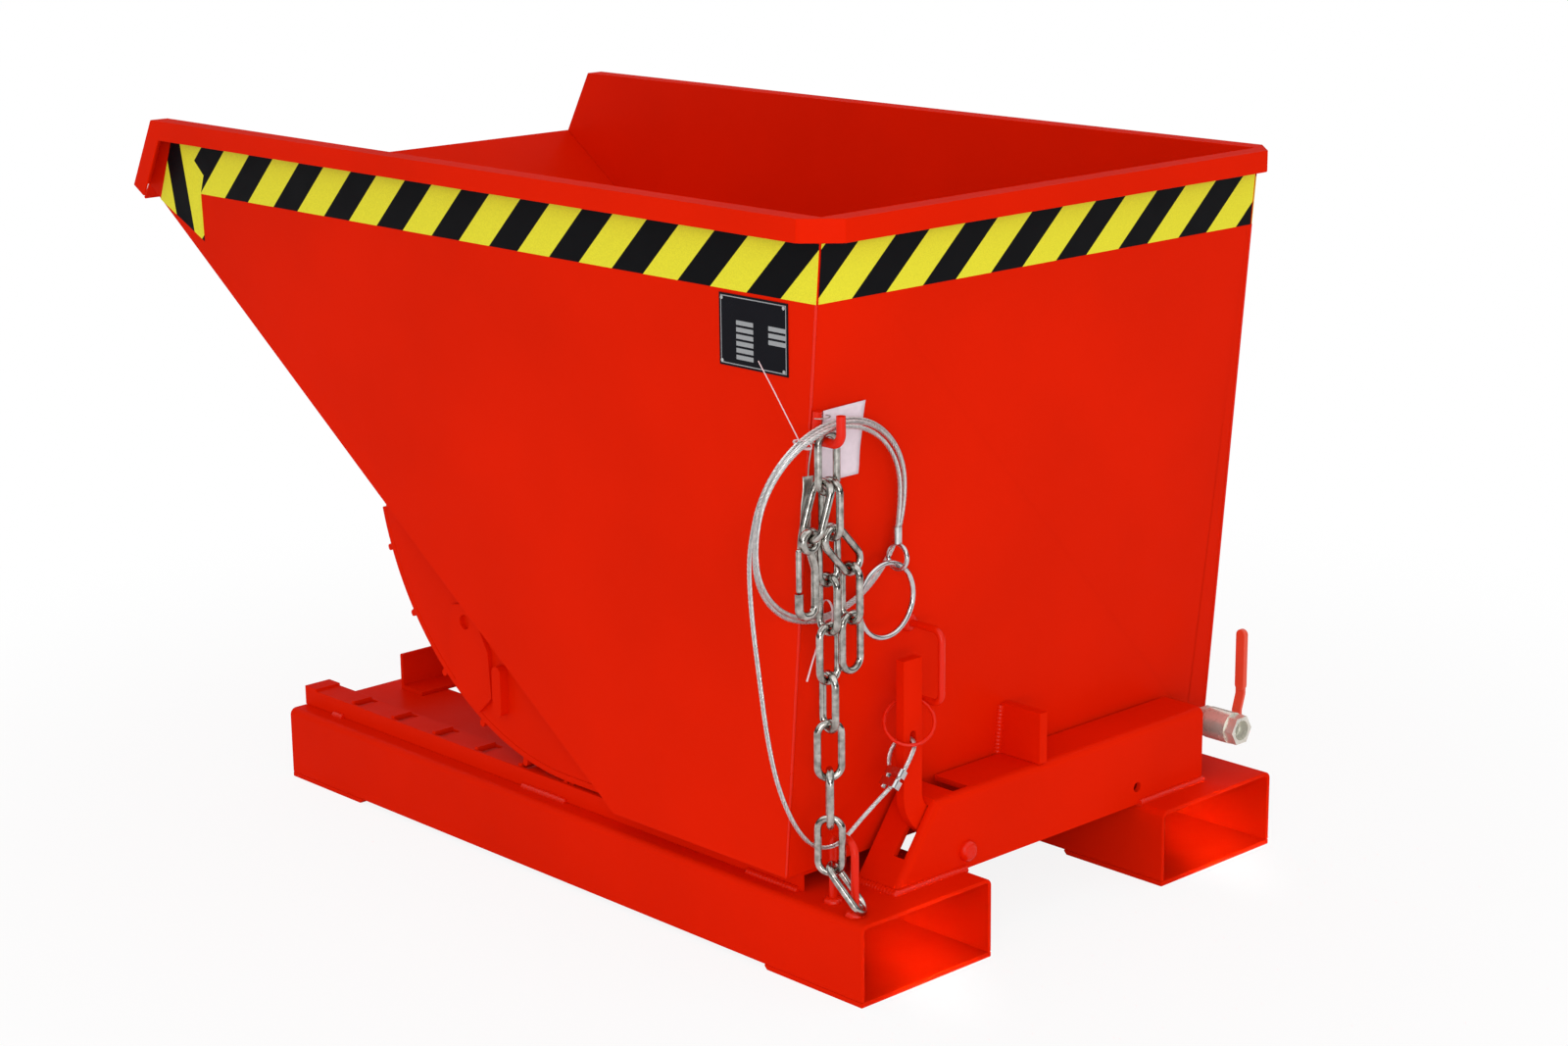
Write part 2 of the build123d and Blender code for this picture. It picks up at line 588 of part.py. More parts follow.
def rocker_tread():
    outer = rocker_arc(ROLL_RADIUS, 0, ROCKER_ANGLE)
    inner = rocker_arc(ROLL_RADIUS - TREAD_THICKNESS, 0, ROCKER_ANGLE)
    foot = Polyline(inner @ 0, (slope_x(FOOT_TOP), FOOT_TOP), (FLOOR_FRONT_X, FLOOR_Z), outer @ 0)
    outline = Curve() + [outer, Line(outer @ 1, inner @ 1), inner, foot]
    return side_plate(outline, (ROCKER_Y - TREAD_WIDTH, ROCKER_Y))


def rocker_teeth():
    """Bars across the tread, one for each slot of the rail."""
    teeth = []
    middle = ROCKER_Y - TREAD_WIDTH / 2
    reach = SLOT_LENGTH / 2 - TOOTH_SIDE_GAP
    for x in SLOT_X:
        angle = degrees((ROLL_X - x) / ROLL_RADIUS)
        bar = block((-TOOTH_WIDTH / 2, TOOTH_WIDTH / 2), (middle - reach, middle + reach),
                    (-ROLL_RADIUS - TOOTH_HEIGHT, -ROLL_RADIUS))
        bar = fillet(bar.edges().filter_by(Axis.Y).group_by(Axis.Z)[0], TOOTH_ROUND)
        teeth.append(Pos(ROLL_X, 0, ROLL_Z) * Rot(0, angle, 0) * bar)
    return teeth


def rocker_gusset():
    """Stiffening plate on the rocker's outer face, and a rounded finger beside it."""
    plate_y = (ROCKER_Y, ROCKER_Y + GUSSET_THICKNESS)
    plate = side_plate([rocker_point(*place) for place in GUSSET_OUTLINE], plate_y)
    hole_x, hole_z = rocker_point(*GUSSET_HOLE_PLACE)
    plate -= bar_y(2 * GUSSET_HOLE_RADIUS, hole_x, plate_y, hole_z)
    finger_x, finger_z = rocker_point(*FINGER_PLACE)
    plane = Plane(origin=(finger_x, ROCKER_Y, finger_z), x_dir=(0, 0, 1), z_dir=(0, 1, 0))
    return plate, extrude(plane * SlotOverall(FINGER_LENGTH, FINGER_WIDTH), FINGER_THICKNESS)


def fitted_to_rear_wall(shape):
    """Shape cut off along the rear wall's outer face."""
    line = [(FLOOR_REAR_X, FLOOR_Z), (REAR_TOP_X, HOPPER_TOP)]
    inside = line + [(ROLL_X, HOPPER_TOP), (ROLL_X, FLOOR_Z)]
    return shape - side_plate(inside, (-SIDE_Y, SIDE_Y))


def rest_lug():
    """Plate on the rear wall that stands on the channel."""
    z = (CHANNEL_TOP + RUN_GAP, REST_LUG_TOP)
    outline = [(rear_x(z[0]), z[0]), (CHANNEL_REAR_X, z[0]), (CHANNEL_REAR_X, z[1]), (rear_x(z[1]), z[1])]
    return side_plate(outline, (REST_LUG_Y - REST_LUG_THICKNESS / 2, REST_LUG_Y + REST_LUG_THICKNESS / 2))


def latch_keeper():
    """Bar on the rear wall that the latch holds down."""
    z = (KEEPER_BOTTOM, KEEPER_TOP)
    outline = [(rear_x(z[0]), z[0]), (KEEPER_REACH_X, z[0]), (KEEPER_REACH_X, z[1]), (rear_x(z[1]), z[1])]
    near = PIVOT_Y - KEEPER_OFFSET
    return side_plate(outline, (near, near + KEEPER_WIDTH))


def stow_hook():
    """Rod along the wall, bent out and up again."""
    out = HOOK_ROD / 2 - WELD_SINK
    points = [(rear_x(HOOK_TIP_Z) + out, HOOK_Y, HOOK_TIP_Z), (rear_x(HOOK_Z) + out, HOOK_Y, HOOK_Z),
              (HOOK_REACH_X, HOOK_Y, HOOK_Z), (HOOK_REACH_X, HOOK_Y, HOOK_TIP_Z)]
    return fitted_to_rear_wall(bent_rod(points, HOOK_BEND, HOOK_ROD))


def ring_staple():
    points = [(FLOOR_REAR_X, STAPLE_Y, STAPLE_TOP), (STAPLE_X, STAPLE_Y, STAPLE_TOP),
              (STAPLE_X, STAPLE_Y, STAPLE_BOTTOM), (FLOOR_REAR_X, STAPLE_Y, STAPLE_BOTTOM)]
    return fitted_to_rear_wall(bent_rod(points, STAPLE_BEND, STAPLE_ROD))


def side_band():
    """Warning tape under a side's rim, turned down along its front edge."""
    top_front = SIDE_FRONT_TOP_X - (HOPPER_TOP - BAND_TOP) * (SIDE_FRONT_TOP_X - LIP_X) / (HOPPER_TOP - LIP_Z)
    inset = RIM_HEIGHT + BAND_THICKNESS
    front_lean = (SIDE_FRONT_TOP_X - LIP_X) / (HOPPER_TOP - LIP_Z)
    foot_x = slope_x(LIP_Z - BAND_WIDTH)
    outline = [(rear_x(BAND_TOP), BAND_TOP), (rear_x(BAND_BOTTOM), BAND_BOTTOM),
               (top_front + inset + BAND_WIDTH, BAND_BOTTOM), (foot_x + BAND_WIDTH * front_lean, LIP_Z - BAND_WIDTH),
               (foot_x - BAND_WIDTH, slope_z(foot_x - BAND_WIDTH)), (top_front + inset, BAND_TOP)]
    return side_plate(outline, (SIDE_Y, SIDE_Y + BAND_THICKNESS))


def rear_band():
    outline = [(rear_x(BAND_BOTTOM), BAND_BOTTOM), (rear_x(BAND_TOP), BAND_TOP)]
    return side_plate(strip(outline, BAND_THICKNESS), (-INSIDE_Y, INSIDE_Y))


def type_plate():
    z = (BAND_BOTTOM - PLATE_DROP - PLATE_HEIGHT, BAND_BOTTOM - PLATE_DROP)
    x = (PLATE_REAR_X - PLATE_LENGTH, PLATE_REAR_X)
    face = -SIDE_Y - PLATE_THICKNESS
    plate = block(x, (face, -SIDE_Y), z)
    rivets = []
    for rivet_x in (x[0] + RIVET_INSET, x[1] - RIVET_INSET):
        for rivet_z in (z[0] + RIVET_INSET, z[1] - RIVET_INSET):
            rivets.append(bar_y(2 * RIVET_RADIUS, rivet_x, (face - RIVET_HEAD, face), rivet_z))
    return plate, rivets


# Drain valve
VALVE_X = rear_x(DRAIN_Z) + NIPPLE_LENGTH
VALVE_MIDDLE = VALVE_X + VALVE_LENGTH / 2
HANDLE_Y = DRAIN_Y + GLAND_Y + RUN_GAP


def along_x(face, x):
    """Face drawn about the pipe's axis, extruded between two values of x."""
    plane = Plane(origin=(x[0], DRAIN_Y, DRAIN_Z), x_dir=(0, 1, 0), z_dir=(1, 0, 0))
    return extrude(plane * face, x[1] - x[0])


def drain_nipple():
    ring = Circle(NIPPLE_DIAMETER / 2) - Circle(DRAIN_BORE / 2)
    return fitted_to_rear_wall(along_x(ring, (FLOOR_REAR_X, VALVE_X)))


def valve_shell():
    """Valve body with a hexagon at each end, a gland for the stem and room for the ball."""
    hexagon = RegularPolygon(VALVE_HEX_FLATS / 2, 6, major_radius=False)
    barrel = (VALVE_X + VALVE_HEX_LENGTH, VALVE_X + VALVE_LENGTH - VALVE_HEX_LENGTH)
    shell = along_x(Circle(VALVE_BODY_DIAMETER / 2), barrel)
    shell += along_x(hexagon, (VALVE_X, barrel[0]))
    shell += along_x(hexagon, (barrel[1], VALVE_X + VALVE_LENGTH))
    shell += bar_y(GLAND_DIAMETER, VALVE_MIDDLE, (DRAIN_Y, DRAIN_Y + GLAND_Y), DRAIN_Z)
    shell -= along_x(Circle(DRAIN_BORE / 2), (VALVE_X, VALVE_X + VALVE_LENGTH))
    shell -= along_x(Circle(OUTLET_RADIUS), (VALVE_X + VALVE_LENGTH - OUTLET_LENGTH, VALVE_X + VALVE_LENGTH))
    chamber = BALL_RADIUS + SEAT_WIDTH / 2
    shell -= along_x(Circle(BALL_RADIUS + RUN_GAP), (VALVE_MIDDLE - chamber, VALVE_MIDDLE + chamber))
    return shell - bar_y(STEM_DIAMETER + 2 * PIN_GAP, VALVE_MIDDLE, (DRAIN_Y, DRAIN_Y + GLAND_Y), DRAIN_Z)


def valve_seats():
    """Rings that the ball turns against."""
    ring = Circle(BALL_RADIUS) - Circle(DRAIN_BORE / 2)
    chamber = BALL_RADIUS + SEAT_WIDTH / 2
    room = Pos(VALVE_MIDDLE, DRAIN_Y, DRAIN_Z) * Sphere(BALL_RADIUS + RUN_GAP)
    front = along_x(ring, (VALVE_MIDDLE - chamber, VALVE_MIDDLE - chamber + 2 * SEAT_WIDTH)) - room
    return front, mirror(front, Plane(origin=(VALVE_MIDDLE, 0, 0), z_dir=(1, 0, 0)))


def valve_ball():
    """Ball with its stem, bored across the pipe while the valve is shut."""
    ball = Sphere(BALL_RADIUS) - Cylinder(DRAIN_BORE / 2, 3 * BALL_RADIUS)
    ball = Pos(VALVE_MIDDLE, DRAIN_Y, DRAIN_Z) * ball
    stem_y = (DRAIN_Y + BALL_RADIUS - STEM_DEPTH, HANDLE_Y + HANDLE_THICKNESS + HANDLE_NUT_HEIGHT)
    return ball + bar_y(STEM_DIAMETER, VALVE_MIDDLE, stem_y, DRAIN_Z)


def cranked_bar():
    """Flat bar of the handle, cranked outwards above its stem."""
    low, high = HANDLE_CRANK_Z
    out = HANDLE_Y + HANDLE_CRANK
    run = [(HANDLE_Y, -HANDLE_WIDTH / 2), (HANDLE_Y, low), (out, high), (out, HANDLE_LENGTH)]
    back = [(y + HANDLE_THICKNESS, z) for y, z in reversed(run)]
    plane = Plane(origin=(VALVE_MIDDLE - HANDLE_WIDTH / 2, 0, DRAIN_Z), x_dir=(0, 1, 0), z_dir=(1, 0, 0))
    bar = extrude(plane * make_face(Polyline(*run, *back, close=True)), HANDLE_WIDTH)
    ends = bar.edges().filter_by(Axis.Y).group_by(Axis.Z)
    return fillet(ends[0] + ends[-1], HANDLE_END_ROUND)


def valve_handle():
    return cranked_bar() - bar_y(STEM_DIAMETER, VALVE_MIDDLE, (HANDLE_Y, HANDLE_Y + HANDLE_THICKNESS), DRAIN_Z)


def valve_grip():
    """Sleeve over the handle's upper part."""
    proud = (GRIP_THICKNESS - HANDLE_THICKNESS) / 2
    middle_z = DRAIN_Z + HANDLE_LENGTH + GRIP_CAP - GRIP_LENGTH / 2
    plane = Plane(origin=(VALVE_MIDDLE, HANDLE_Y + HANDLE_CRANK - proud, middle_z), x_dir=(0, 0, 1), z_dir=(0, 1, 0))
    grip = extrude(plane * SlotOverall(GRIP_LENGTH, GRIP_WIDTH), GRIP_THICKNESS)
    grip = fillet(grip.edges().group_by(Axis.Y)[0] + grip.edges().group_by(Axis.Y)[-1], proud)
    return grip - cranked_bar()


def handle_nut():
    hexagon = RegularPolygon(HANDLE_NUT_FLATS / 2, 6, major_radius=False) - Circle(STEM_DIAMETER / 2)
    plane = Plane(origin=(VALVE_MIDDLE, HANDLE_Y + HANDLE_THICKNESS, DRAIN_Z), x_dir=(1, 0, 0), z_dir=(0, 1, 0))
    return extrude(plane * hexagon, HANDLE_NUT_HEIGHT)


# Chain and snap hook
LINK_BEND = (LINK_INNER_WIDTH + CHAIN_WIRE) / 2
LINK_STRAIGHT = LINK_INNER_LENGTH - LINK_INNER_WIDTH
END_WIRE = (LINK_INNER_LENGTH + CHAIN_WIRE) / 2
LINK_PITCH = LINK_INNER_LENGTH - LINK_GAP


def chain_link():
    """Link standing along Z with its flat side to X."""
    half = Torus(LINK_BEND, CHAIN_WIRE / 2, major_angle=180, align=(Align.CENTER, Align.MIN, Align.CENTER))
    half = Rot(0, 0, 90) * Rot(90, 0, 0) * half
    end = Pos(0, 0, LINK_STRAIGHT / 2) * half
    link = end + Rot(180, 0, 0) * end
    for side in (NEAR, FAR):
        link += Pos(0, side * LINK_BEND, 0) * Cylinder(CHAIN_WIRE / 2, LINK_STRAIGHT)
    return link


def link_drop(offset):
    """Between the centres of two links, the lower one hanging off the middle of the upper one's end."""
    seat = LINK_INNER_WIDTH / 2 - CHAIN_WIRE / 2 - LINK_GAP
    return LINK_STRAIGHT / 2 + sqrt(seat ** 2 - offset ** 2) + END_WIRE


# Chain, worked out upwards from the link that lies on the pocket against the eye
PAIR_OFFSET = (CHAIN_WIRE + PAIR_GAP) / 2
STRAND_X = CHAIN_X - PAIR_OFFSET
STRAND_Y = HOOK_Y + PAIR_OFFSET
ANCHOR_LOW_Z = POCKET_TOP + CHAIN_WIRE / 2 + LINK_GAP
ANCHOR_RISE = sqrt((2 * END_WIRE) ** 2 - ANCHOR_RUN ** 2)
ANCHOR_HEADING = degrees(atan2(EYE_REAR[1] - STRAND_Y, EYE_REAR[0] - STRAND_X))
STRAND_TWIST = (90 - ANCHOR_HEADING) / (STRAND_LINKS - SPARE_LINKS - 1)     # per link below the free end
STRAND_LOW_Z = ANCHOR_LOW_Z + ANCHOR_RISE - CHAIN_WIRE - 2 * LINK_GAP + END_WIRE
STRAND_TOP_Z = STRAND_LOW_Z + (STRAND_LINKS - 2) * LINK_PITCH + link_drop(PAIR_OFFSET)
HOOK_LINK_Z = STRAND_TOP_Z + link_drop(PAIR_OFFSET)
HOOK_Z = HOOK_LINK_Z + END_WIRE - CHAIN_WIRE / 2 - LINK_GAP - HOOK_ROD / 2
ROPE_TOP_Z = HOOK_Z + HOOK_ROD / 2 + LINK_GAP + CHAIN_WIRE + RUN_GAP + ROPE / 2
ROPE_WAY = Vector(sin(radians(ROPE_LEAN)), 0, cos(radians(ROPE_LEAN)))
SNAP_LINK_TOP = Vector(CHAIN_X, HOOK_Y - PAIR_OFFSET, STRAND_TOP_Z + END_WIRE)
SNAP_WAY = Vector(0, -sin(radians(SNAP_LINK_TILT)), -cos(radians(SNAP_LINK_TILT)))
SNAP_EYE = SNAP_LINK_TOP + SNAP_WAY * 2 * END_WIRE - Vector(0, 0, SNAP_EYE_RADIUS - CHAIN_WIRE - LINK_GAP)


def anchor_link():
    """Lowest link, round the eye's rear leg and leaning up to the strand."""
    lean = degrees(atan2(ANCHOR_RUN, ANCHOR_RISE))
    top = Pos(STRAND_X, STRAND_Y, ANCHOR_LOW_Z + ANCHOR_RISE)
    return top * Rot(0, 0, ANCHOR_HEADING) * Rot(0, -lean, 0) * Pos(0, 0, -END_WIRE) * chain_link()


def chain_strand():
    """Links from the hook's link down to the eye, the lower ones twisted towards the eye's leg."""
    links = [Pos(CHAIN_X, STRAND_Y, STRAND_TOP_Z) * Rot(0, 0, 90) * chain_link()]
    for number in range(STRAND_LINKS - 1):
        place = Pos(STRAND_X, STRAND_Y, STRAND_TOP_Z - link_drop(PAIR_OFFSET) - number * LINK_PITCH)
        twist = max(0, number + 1 - SPARE_LINKS) * STRAND_TWIST
        links.append(place * Rot(0, 0, number * 90 - twist) * chain_link())
    return links


def spare_links():
    """Free end of the chain, beside the strand: the first link leans on it and the others hang."""
    bend = END_WIRE - LINK_STRAIGHT / 2
    hung_z = STRAND_TOP_Z - link_drop(PAIR_OFFSET) + END_WIRE - bend
    hung = Vector(CHAIN_X + PAIR_OFFSET, STRAND_Y, hung_z)
    way = Vector(0, sin(radians(SPARE_TILT)), -cos(radians(SPARE_TILT)))
    links = [Pos(hung + way * LINK_STRAIGHT / 2) * Rot(SPARE_TILT, 0, 0) * chain_link()]
    seat = hung + way * LINK_STRAIGHT - Vector(0, 0, link_drop(0) - LINK_STRAIGHT / 2)
    for number in range(SPARE_LINKS - 1):
        turn = 0 if number % 2 else 90
        links.append(Pos(seat - Vector(0, 0, number * LINK_PITCH)) * Rot(0, 0, turn) * chain_link())
    return links


def hook_links():
    """Link on the stow hook and the link that carries the snap hook."""
    first = Pos(CHAIN_X, HOOK_Y, HOOK_LINK_Z) * chain_link()
    hung = Pos(0, 0, -END_WIRE) * Rot(0, 0, 90) * chain_link()
    second = Pos(SNAP_LINK_TOP) * Rot(-SNAP_LINK_TILT, 0, 0) * hung
    return first, second


def snap_hook():
    """Eye and hook of round bar, open towards the near side."""
    eye = Pos(SNAP_EYE) * Rot(0, 90, 0) * Torus(SNAP_EYE_RADIUS, SNAP_WIRE / 2)
    back = SNAP_EYE.Y + SNAP_BACK
    front = back - 2 * SNAP_HOOK_RADIUS
    low = SNAP_EYE.Z - SNAP_LENGTH
    points = [(CHAIN_X, SNAP_EYE.Y, SNAP_EYE.Z - SNAP_EYE_RADIUS),
              (CHAIN_X, back, SNAP_EYE.Z - 3 * SNAP_EYE_RADIUS), (CHAIN_X, back, low),
              (CHAIN_X, front, low), (CHAIN_X, front, low + SNAP_TIP_HEIGHT)]
    return eye + bent_rod(points, SNAP_BEND, SNAP_WIRE)


def snap_gate_ends():
    """Hinged end of the gate, under the eye, and its end on the hook's tip."""
    front = SNAP_EYE.Y + SNAP_BACK - 2 * SNAP_HOOK_RADIUS
    tip = SNAP_EYE.Z - SNAP_LENGTH + SNAP_TIP_HEIGHT
    apart = SNAP_EYE_RADIUS + (SNAP_WIRE + GATE_DIAMETER) / 2 + RUN_GAP
    drop = sqrt(apart ** 2 - (front - SNAP_EYE.Y) ** 2)
    return Vector(CHAIN_X, front, SNAP_EYE.Z - drop), Vector(CHAIN_X, front, tip + RUN_GAP + GATE_DIAMETER / 2)


def snap_gate():
    hinge, tip = snap_gate_ends()
    gate = tube_along(Wire([Line(hinge, tip)]), GATE_DIAMETER)
    return gate + Pos(hinge) * Sphere(GATE_DIAMETER / 2) + Pos(tip) * Sphere(GATE_DIAMETER / 2)


# Rope
def route(name, points):
    """Path of straight runs and round bends, each bend as wide as its shorter run allows."""
    points = [Vector(*point) for point in points]
    radii = []
    for before, corner, after in zip(points, points[1:], points[2:]):
        runs = (corner - before, after - corner)
        half_turn = radians(runs[0].get_angle(runs[1])) / 2
        radii.append(BEND_SHARE * min(run.length for run in runs) / tan(half_turn))
    path = FilletPolyline(*points, radius=radii)
    print(name, "bends", [round(radius) for radius in radii], "length", round(path.length))
    return path


def rope_on(name, path):
    """Rope swept along a path, its volume compared with section times length."""
    solid = tube_along(path, ROPE)
    share = solid.volume / (pi * ROPE ** 2 / 4 * path.length)
    print(name, "volume over section times length", round(share, 4))
    return solid


def coil_points():
    """Ends of the coil's half turns over the hook, at the far and the near side by turns."""
    points = []
    for (far_x, far_y), (near_x, near_y) in zip(ROPE_SIDES[::2], ROPE_SIDES[1::2]):
        z = ROPE_TOP_Z - sqrt(-far_y * near_y) * ROPE_WAY.Z
        points += [Vector(CHAIN_X + far_x, HOOK_Y + far_y, z), Vector(CHAIN_X + near_x, HOOK_Y + near_y, z)]
    return points


def rope_start():
    """Free end of the rope, below the coil's beginning."""
    return coil_points()[0] - ROPE_WAY * ROPE_START_DROP


def rope_coil():
    points = coil_points()
    ways = [ROPE_WAY * (FAR if number % 2 == 0 else NEAR) for number in range(len(points))]
    edges = [Line(rope_start(), points[0])]
    for number in range(len(points) - 1):
        edges += biarc(points[number], ways[number], points[number + 1], ways[number + 1])
    path = Wire(edges)
    turn = pi * (ROPE_SIDES[0][1] - ROPE_SIDES[1][1])
    print("rope coil: least gap", round(least_gap(path, ROPE, turn), 2), "length", round(path.length))
    return rope_on("rope coil", path)


def rope_fall():
    return rope_on("rope fall", route("rope fall", [tuple(coil_points()[-1])] + ROPE_FALL))


def rope_loop():
    """End of the rope through the lever's hole and back, with the clips that hold it."""
    path = route("rope loop", ROPE_LOOP)
    rope = rope_on("rope loop", path)
    clips = []
    for height in CLIP_HEIGHTS:
        place = Pos(CLIP_MIDDLE_X, CLIP_FOOT_Y + (height - CLIP_HEIGHTS[0]) * CLIP_LEAN, height)
        box = Box(CLIP_LENGTH, CLIP_WIDTH, CLIP_HEIGHT)
        box = fillet(box.edges().filter_by(Axis.Z), CLIP_ROUND)
        clips.append(place * Rot(-degrees(atan(CLIP_LEAN)), 0, 0) * box - rope)
    return rope, clips


def rope_end():
    """Ferrule and eye at the rope's free end."""
    place = Pos(rope_start() - Vector(0, 0, FERRULE_LENGTH / 2))
    ferrule = place * Cylinder(FERRULE_DIAMETER / 2, FERRULE_LENGTH)
    middle = rope_start() - Vector(0, 0, FERRULE_LENGTH + ROPE_EYE_RADIUS)
    return ferrule + Pos(middle) * Rot(90, 0, 0) * Torus(ROPE_EYE_RADIUS, ROPE / 2)


def pull_ring():
    """Ring through the eye at the rope's end."""
    drop = ROPE_EYE_RADIUS - (ROPE + PULL_RING_WIRE) / 2 - RUN_GAP
    hang = rope_start() - Vector(0, 0, FERRULE_LENGTH + ROPE_EYE_RADIUS + drop)
    way = Vector(0, -sin(radians(PULL_RING_LEAN)), -cos(radians(PULL_RING_LEAN)))
    return Pos(hang + way * PULL_RING_RADIUS) * Rot(0, 90, 0) * Torus(PULL_RING_RADIUS, PULL_RING_WIRE / 2)


def roll_plug():
    """Disc in the far side at the rolling centre."""
    return bar_y(2 * ROLL_PLUG_RADIUS, ROLL_X, (INSIDE_Y, SIDE_Y), ROLL_Z)


def far_side_wall():
    return side_wall() - bar_y(2 * (ROLL_PLUG_RADIUS + PIN_GAP), ROLL_X, (INSIDE_Y, SIDE_Y), ROLL_Z)


# File every node
for prefix, side in (("near", NEAR), ("far", FAR)):
    keep(prefix + "_fork_pocket", mirrored(side, fork_pocket()))
    keep(prefix + "_straps", mirrored(side, strap(-1)), mirrored(side, strap(1)))
    keep(prefix + "_rack_rail", mirrored(side, rack_rail()))
    keep(prefix + "_rim", mirrored(side, side_rim()))
    keep(prefix + "_corner_cap", mirrored(side, corner_cap()))
    keep(prefix + "_rocker_web", mirrored(side, rocker_web()))
    keep(prefix + "_rocker_tread", mirrored(side, rocker_tread()))
    keep(prefix + "_rocker_teeth", *[mirrored(side, tooth) for tooth in rocker_teeth()])
    keep(prefix + "_rocker_gusset", *[mirrored(side, piece) for piece in rocker_gusset()])
    keep(prefix + "_hazard_band", mirrored(side, side_band()))

keep("front_cross_angle", front_cross_angle())
keep("rear_cross_channel", rear_cross_channel())
keep("latch_pivot_bolt", *pivot_bolt())
keep("latch_spring", latch_spring())
keep("chain_eye", chain_eye())
keep("anchor_link", anchor_link())

keep("latch_lever", latch_lever())
keep("securing_ring", securing_ring())
rope, clips = rope_loop()
keep("rope_loop", rope)
keep("rope_clips", *clips)

keep("near_side_wall", mirrored(NEAR, side_wall()))
keep("far_side_wall", far_side_wall())
keep("rear_wall", rear_wall())
keep("floor_front_plate", floor_and_front_plate())
keep("front_lip", front_lip())
keep("rear_rim", rear_rim())
keep("rear_hazard_band", rear_band())
keep("rest_lug", rest_lug())
keep("latch_keeper", latch_keeper())
keep("stow_hook", stow_hook())
keep("ring_staple", ring_staple())
plate, rivets = type_plate()
keep("type_plate", plate)
keep("plate_rivets", *rivets)
keep("roll_plug", roll_plug())

keep("drain_nipple", drain_nipple())
keep("valve_shell", valve_shell())
keep("valve_seats", *valve_seats())
keep("valve_ball", valve_ball())
keep("valve_handle", valve_handle())
keep("valve_grip", valve_grip())
keep("handle_nut", handle_nut())

keep("hook_links", *hook_links())
keep("chain_strand", *chain_strand())
keep("spare_links", *spare_links())
keep("snap_hook", snap_hook())
keep("snap_gate", snap_gate())
keep("rope_coil", rope_coil())
keep("rope_fall", rope_fall())
keep("rope_end", rope_end())
keep("pull_ring", pull_ring())

os.makedirs("parts", exist_ok=True)
for name, solid in nodes.items():
    export_step(solid, "parts/" + name + ".step")
print(len(nodes), "nodes")
print("gate hinge", snap_gate_ends()[0])
print("roll centre", ROLL_X, round(ROLL_Z, 2))
print("valve", round(VALVE_MIDDLE, 2), "outlet", round(VALVE_X + VALVE_LENGTH, 2))
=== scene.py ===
# %% [markdown]
# # Dressing a tipping hopper
# The hopper is a red painted steel skip that stands on two fork pockets and rolls over on toothed rockers.
# Its solid parts come ready made, so this lesson adds what solids lack: light, paint, plating, tape,
# weld beads, the strands of a wire rope, and the tags that hang on it.

# %% Load the solid parts
import json
import math

import bmesh
import bpy
from mathutils import Matrix, Vector


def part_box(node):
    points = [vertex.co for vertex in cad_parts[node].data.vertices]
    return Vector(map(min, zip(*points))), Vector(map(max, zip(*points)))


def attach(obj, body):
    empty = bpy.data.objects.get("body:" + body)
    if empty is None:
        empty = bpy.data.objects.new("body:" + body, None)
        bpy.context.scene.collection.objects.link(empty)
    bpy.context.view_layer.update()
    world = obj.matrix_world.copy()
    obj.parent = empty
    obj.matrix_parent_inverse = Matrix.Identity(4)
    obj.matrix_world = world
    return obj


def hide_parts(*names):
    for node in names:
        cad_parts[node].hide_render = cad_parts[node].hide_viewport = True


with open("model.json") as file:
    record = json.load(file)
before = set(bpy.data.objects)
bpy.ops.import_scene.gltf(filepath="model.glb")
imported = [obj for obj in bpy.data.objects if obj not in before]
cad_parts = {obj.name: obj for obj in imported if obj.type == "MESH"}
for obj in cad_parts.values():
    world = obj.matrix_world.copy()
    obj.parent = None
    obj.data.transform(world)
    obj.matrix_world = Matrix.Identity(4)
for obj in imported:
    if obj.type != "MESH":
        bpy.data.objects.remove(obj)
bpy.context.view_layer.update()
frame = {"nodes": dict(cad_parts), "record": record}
nodes = frame["nodes"]
MM = 0.001

# %% [markdown]
# ## The camera
# The camera stands where the photographer stood: a little above the rim, off the near rear corner, with a
# moderately long lens. It could be aimed at a point and then rolled by eye. Its three axes are written out
# instead, because a fit to the hopper's parallel edges gives all three at once.

# %% Camera
CAMERA_PLACE = (2.6023, -2.4155, 1.2975)
CAMERA_RIGHT = (0.6885, 0.7253, -0.0105)
CAMERA_UP = (-0.1767, 0.1818, 0.9673)
CAMERA_BACK = (0.7035, -0.6641, 0.2533)
LENS = 69.23
SENSOR_WIDTH = 36.0

camera_data = bpy.data.cameras.new("photo_camera")
camera_data.lens = LENS
camera_data.sensor_width = SENSOR_WIDTH
camera = bpy.data.objects.new("photo_camera", camera_data)
turn = Matrix((CAMERA_RIGHT, CAMERA_UP, CAMERA_BACK)).transposed()
camera.matrix_world = Matrix.Translation(CAMERA_PLACE) @ turn.to_4x4()
bpy.context.scene.collection.objects.link(camera)
bpy.context.scene.camera = camera
bpy.context.scene.view_settings.view_transform = "Standard"
print("camera at", CAMERA_PLACE, "lens", LENS)

# %% [markdown]
# Node trees are wired by hand throughout, so two small helpers come first: one adds a node and sets its
# fields and inputs, and the other adds a sum, a product or the like.


# %% Node helpers
def add_node(tree, kind, inputs=None, **fields):
    """New node with its fields set, and each input set to a value or linked to a socket."""
    node = tree.nodes.new(kind)
    for name, value in fields.items():
        setattr(node, name, value)
    for name, value in (inputs or {}).items():
        if isinstance(value, bpy.types.NodeSocket):
            tree.links.new(value, node.inputs[name])
        else:
            node.inputs[name].default_value = value
    return node


def math_node(tree, operation, first, second=0.0, third=0.0):
    return add_node(tree, "ShaderNodeMath", {0: first, 1: second, 2: third}, operation=operation).outputs[0]


print("node helpers ready")

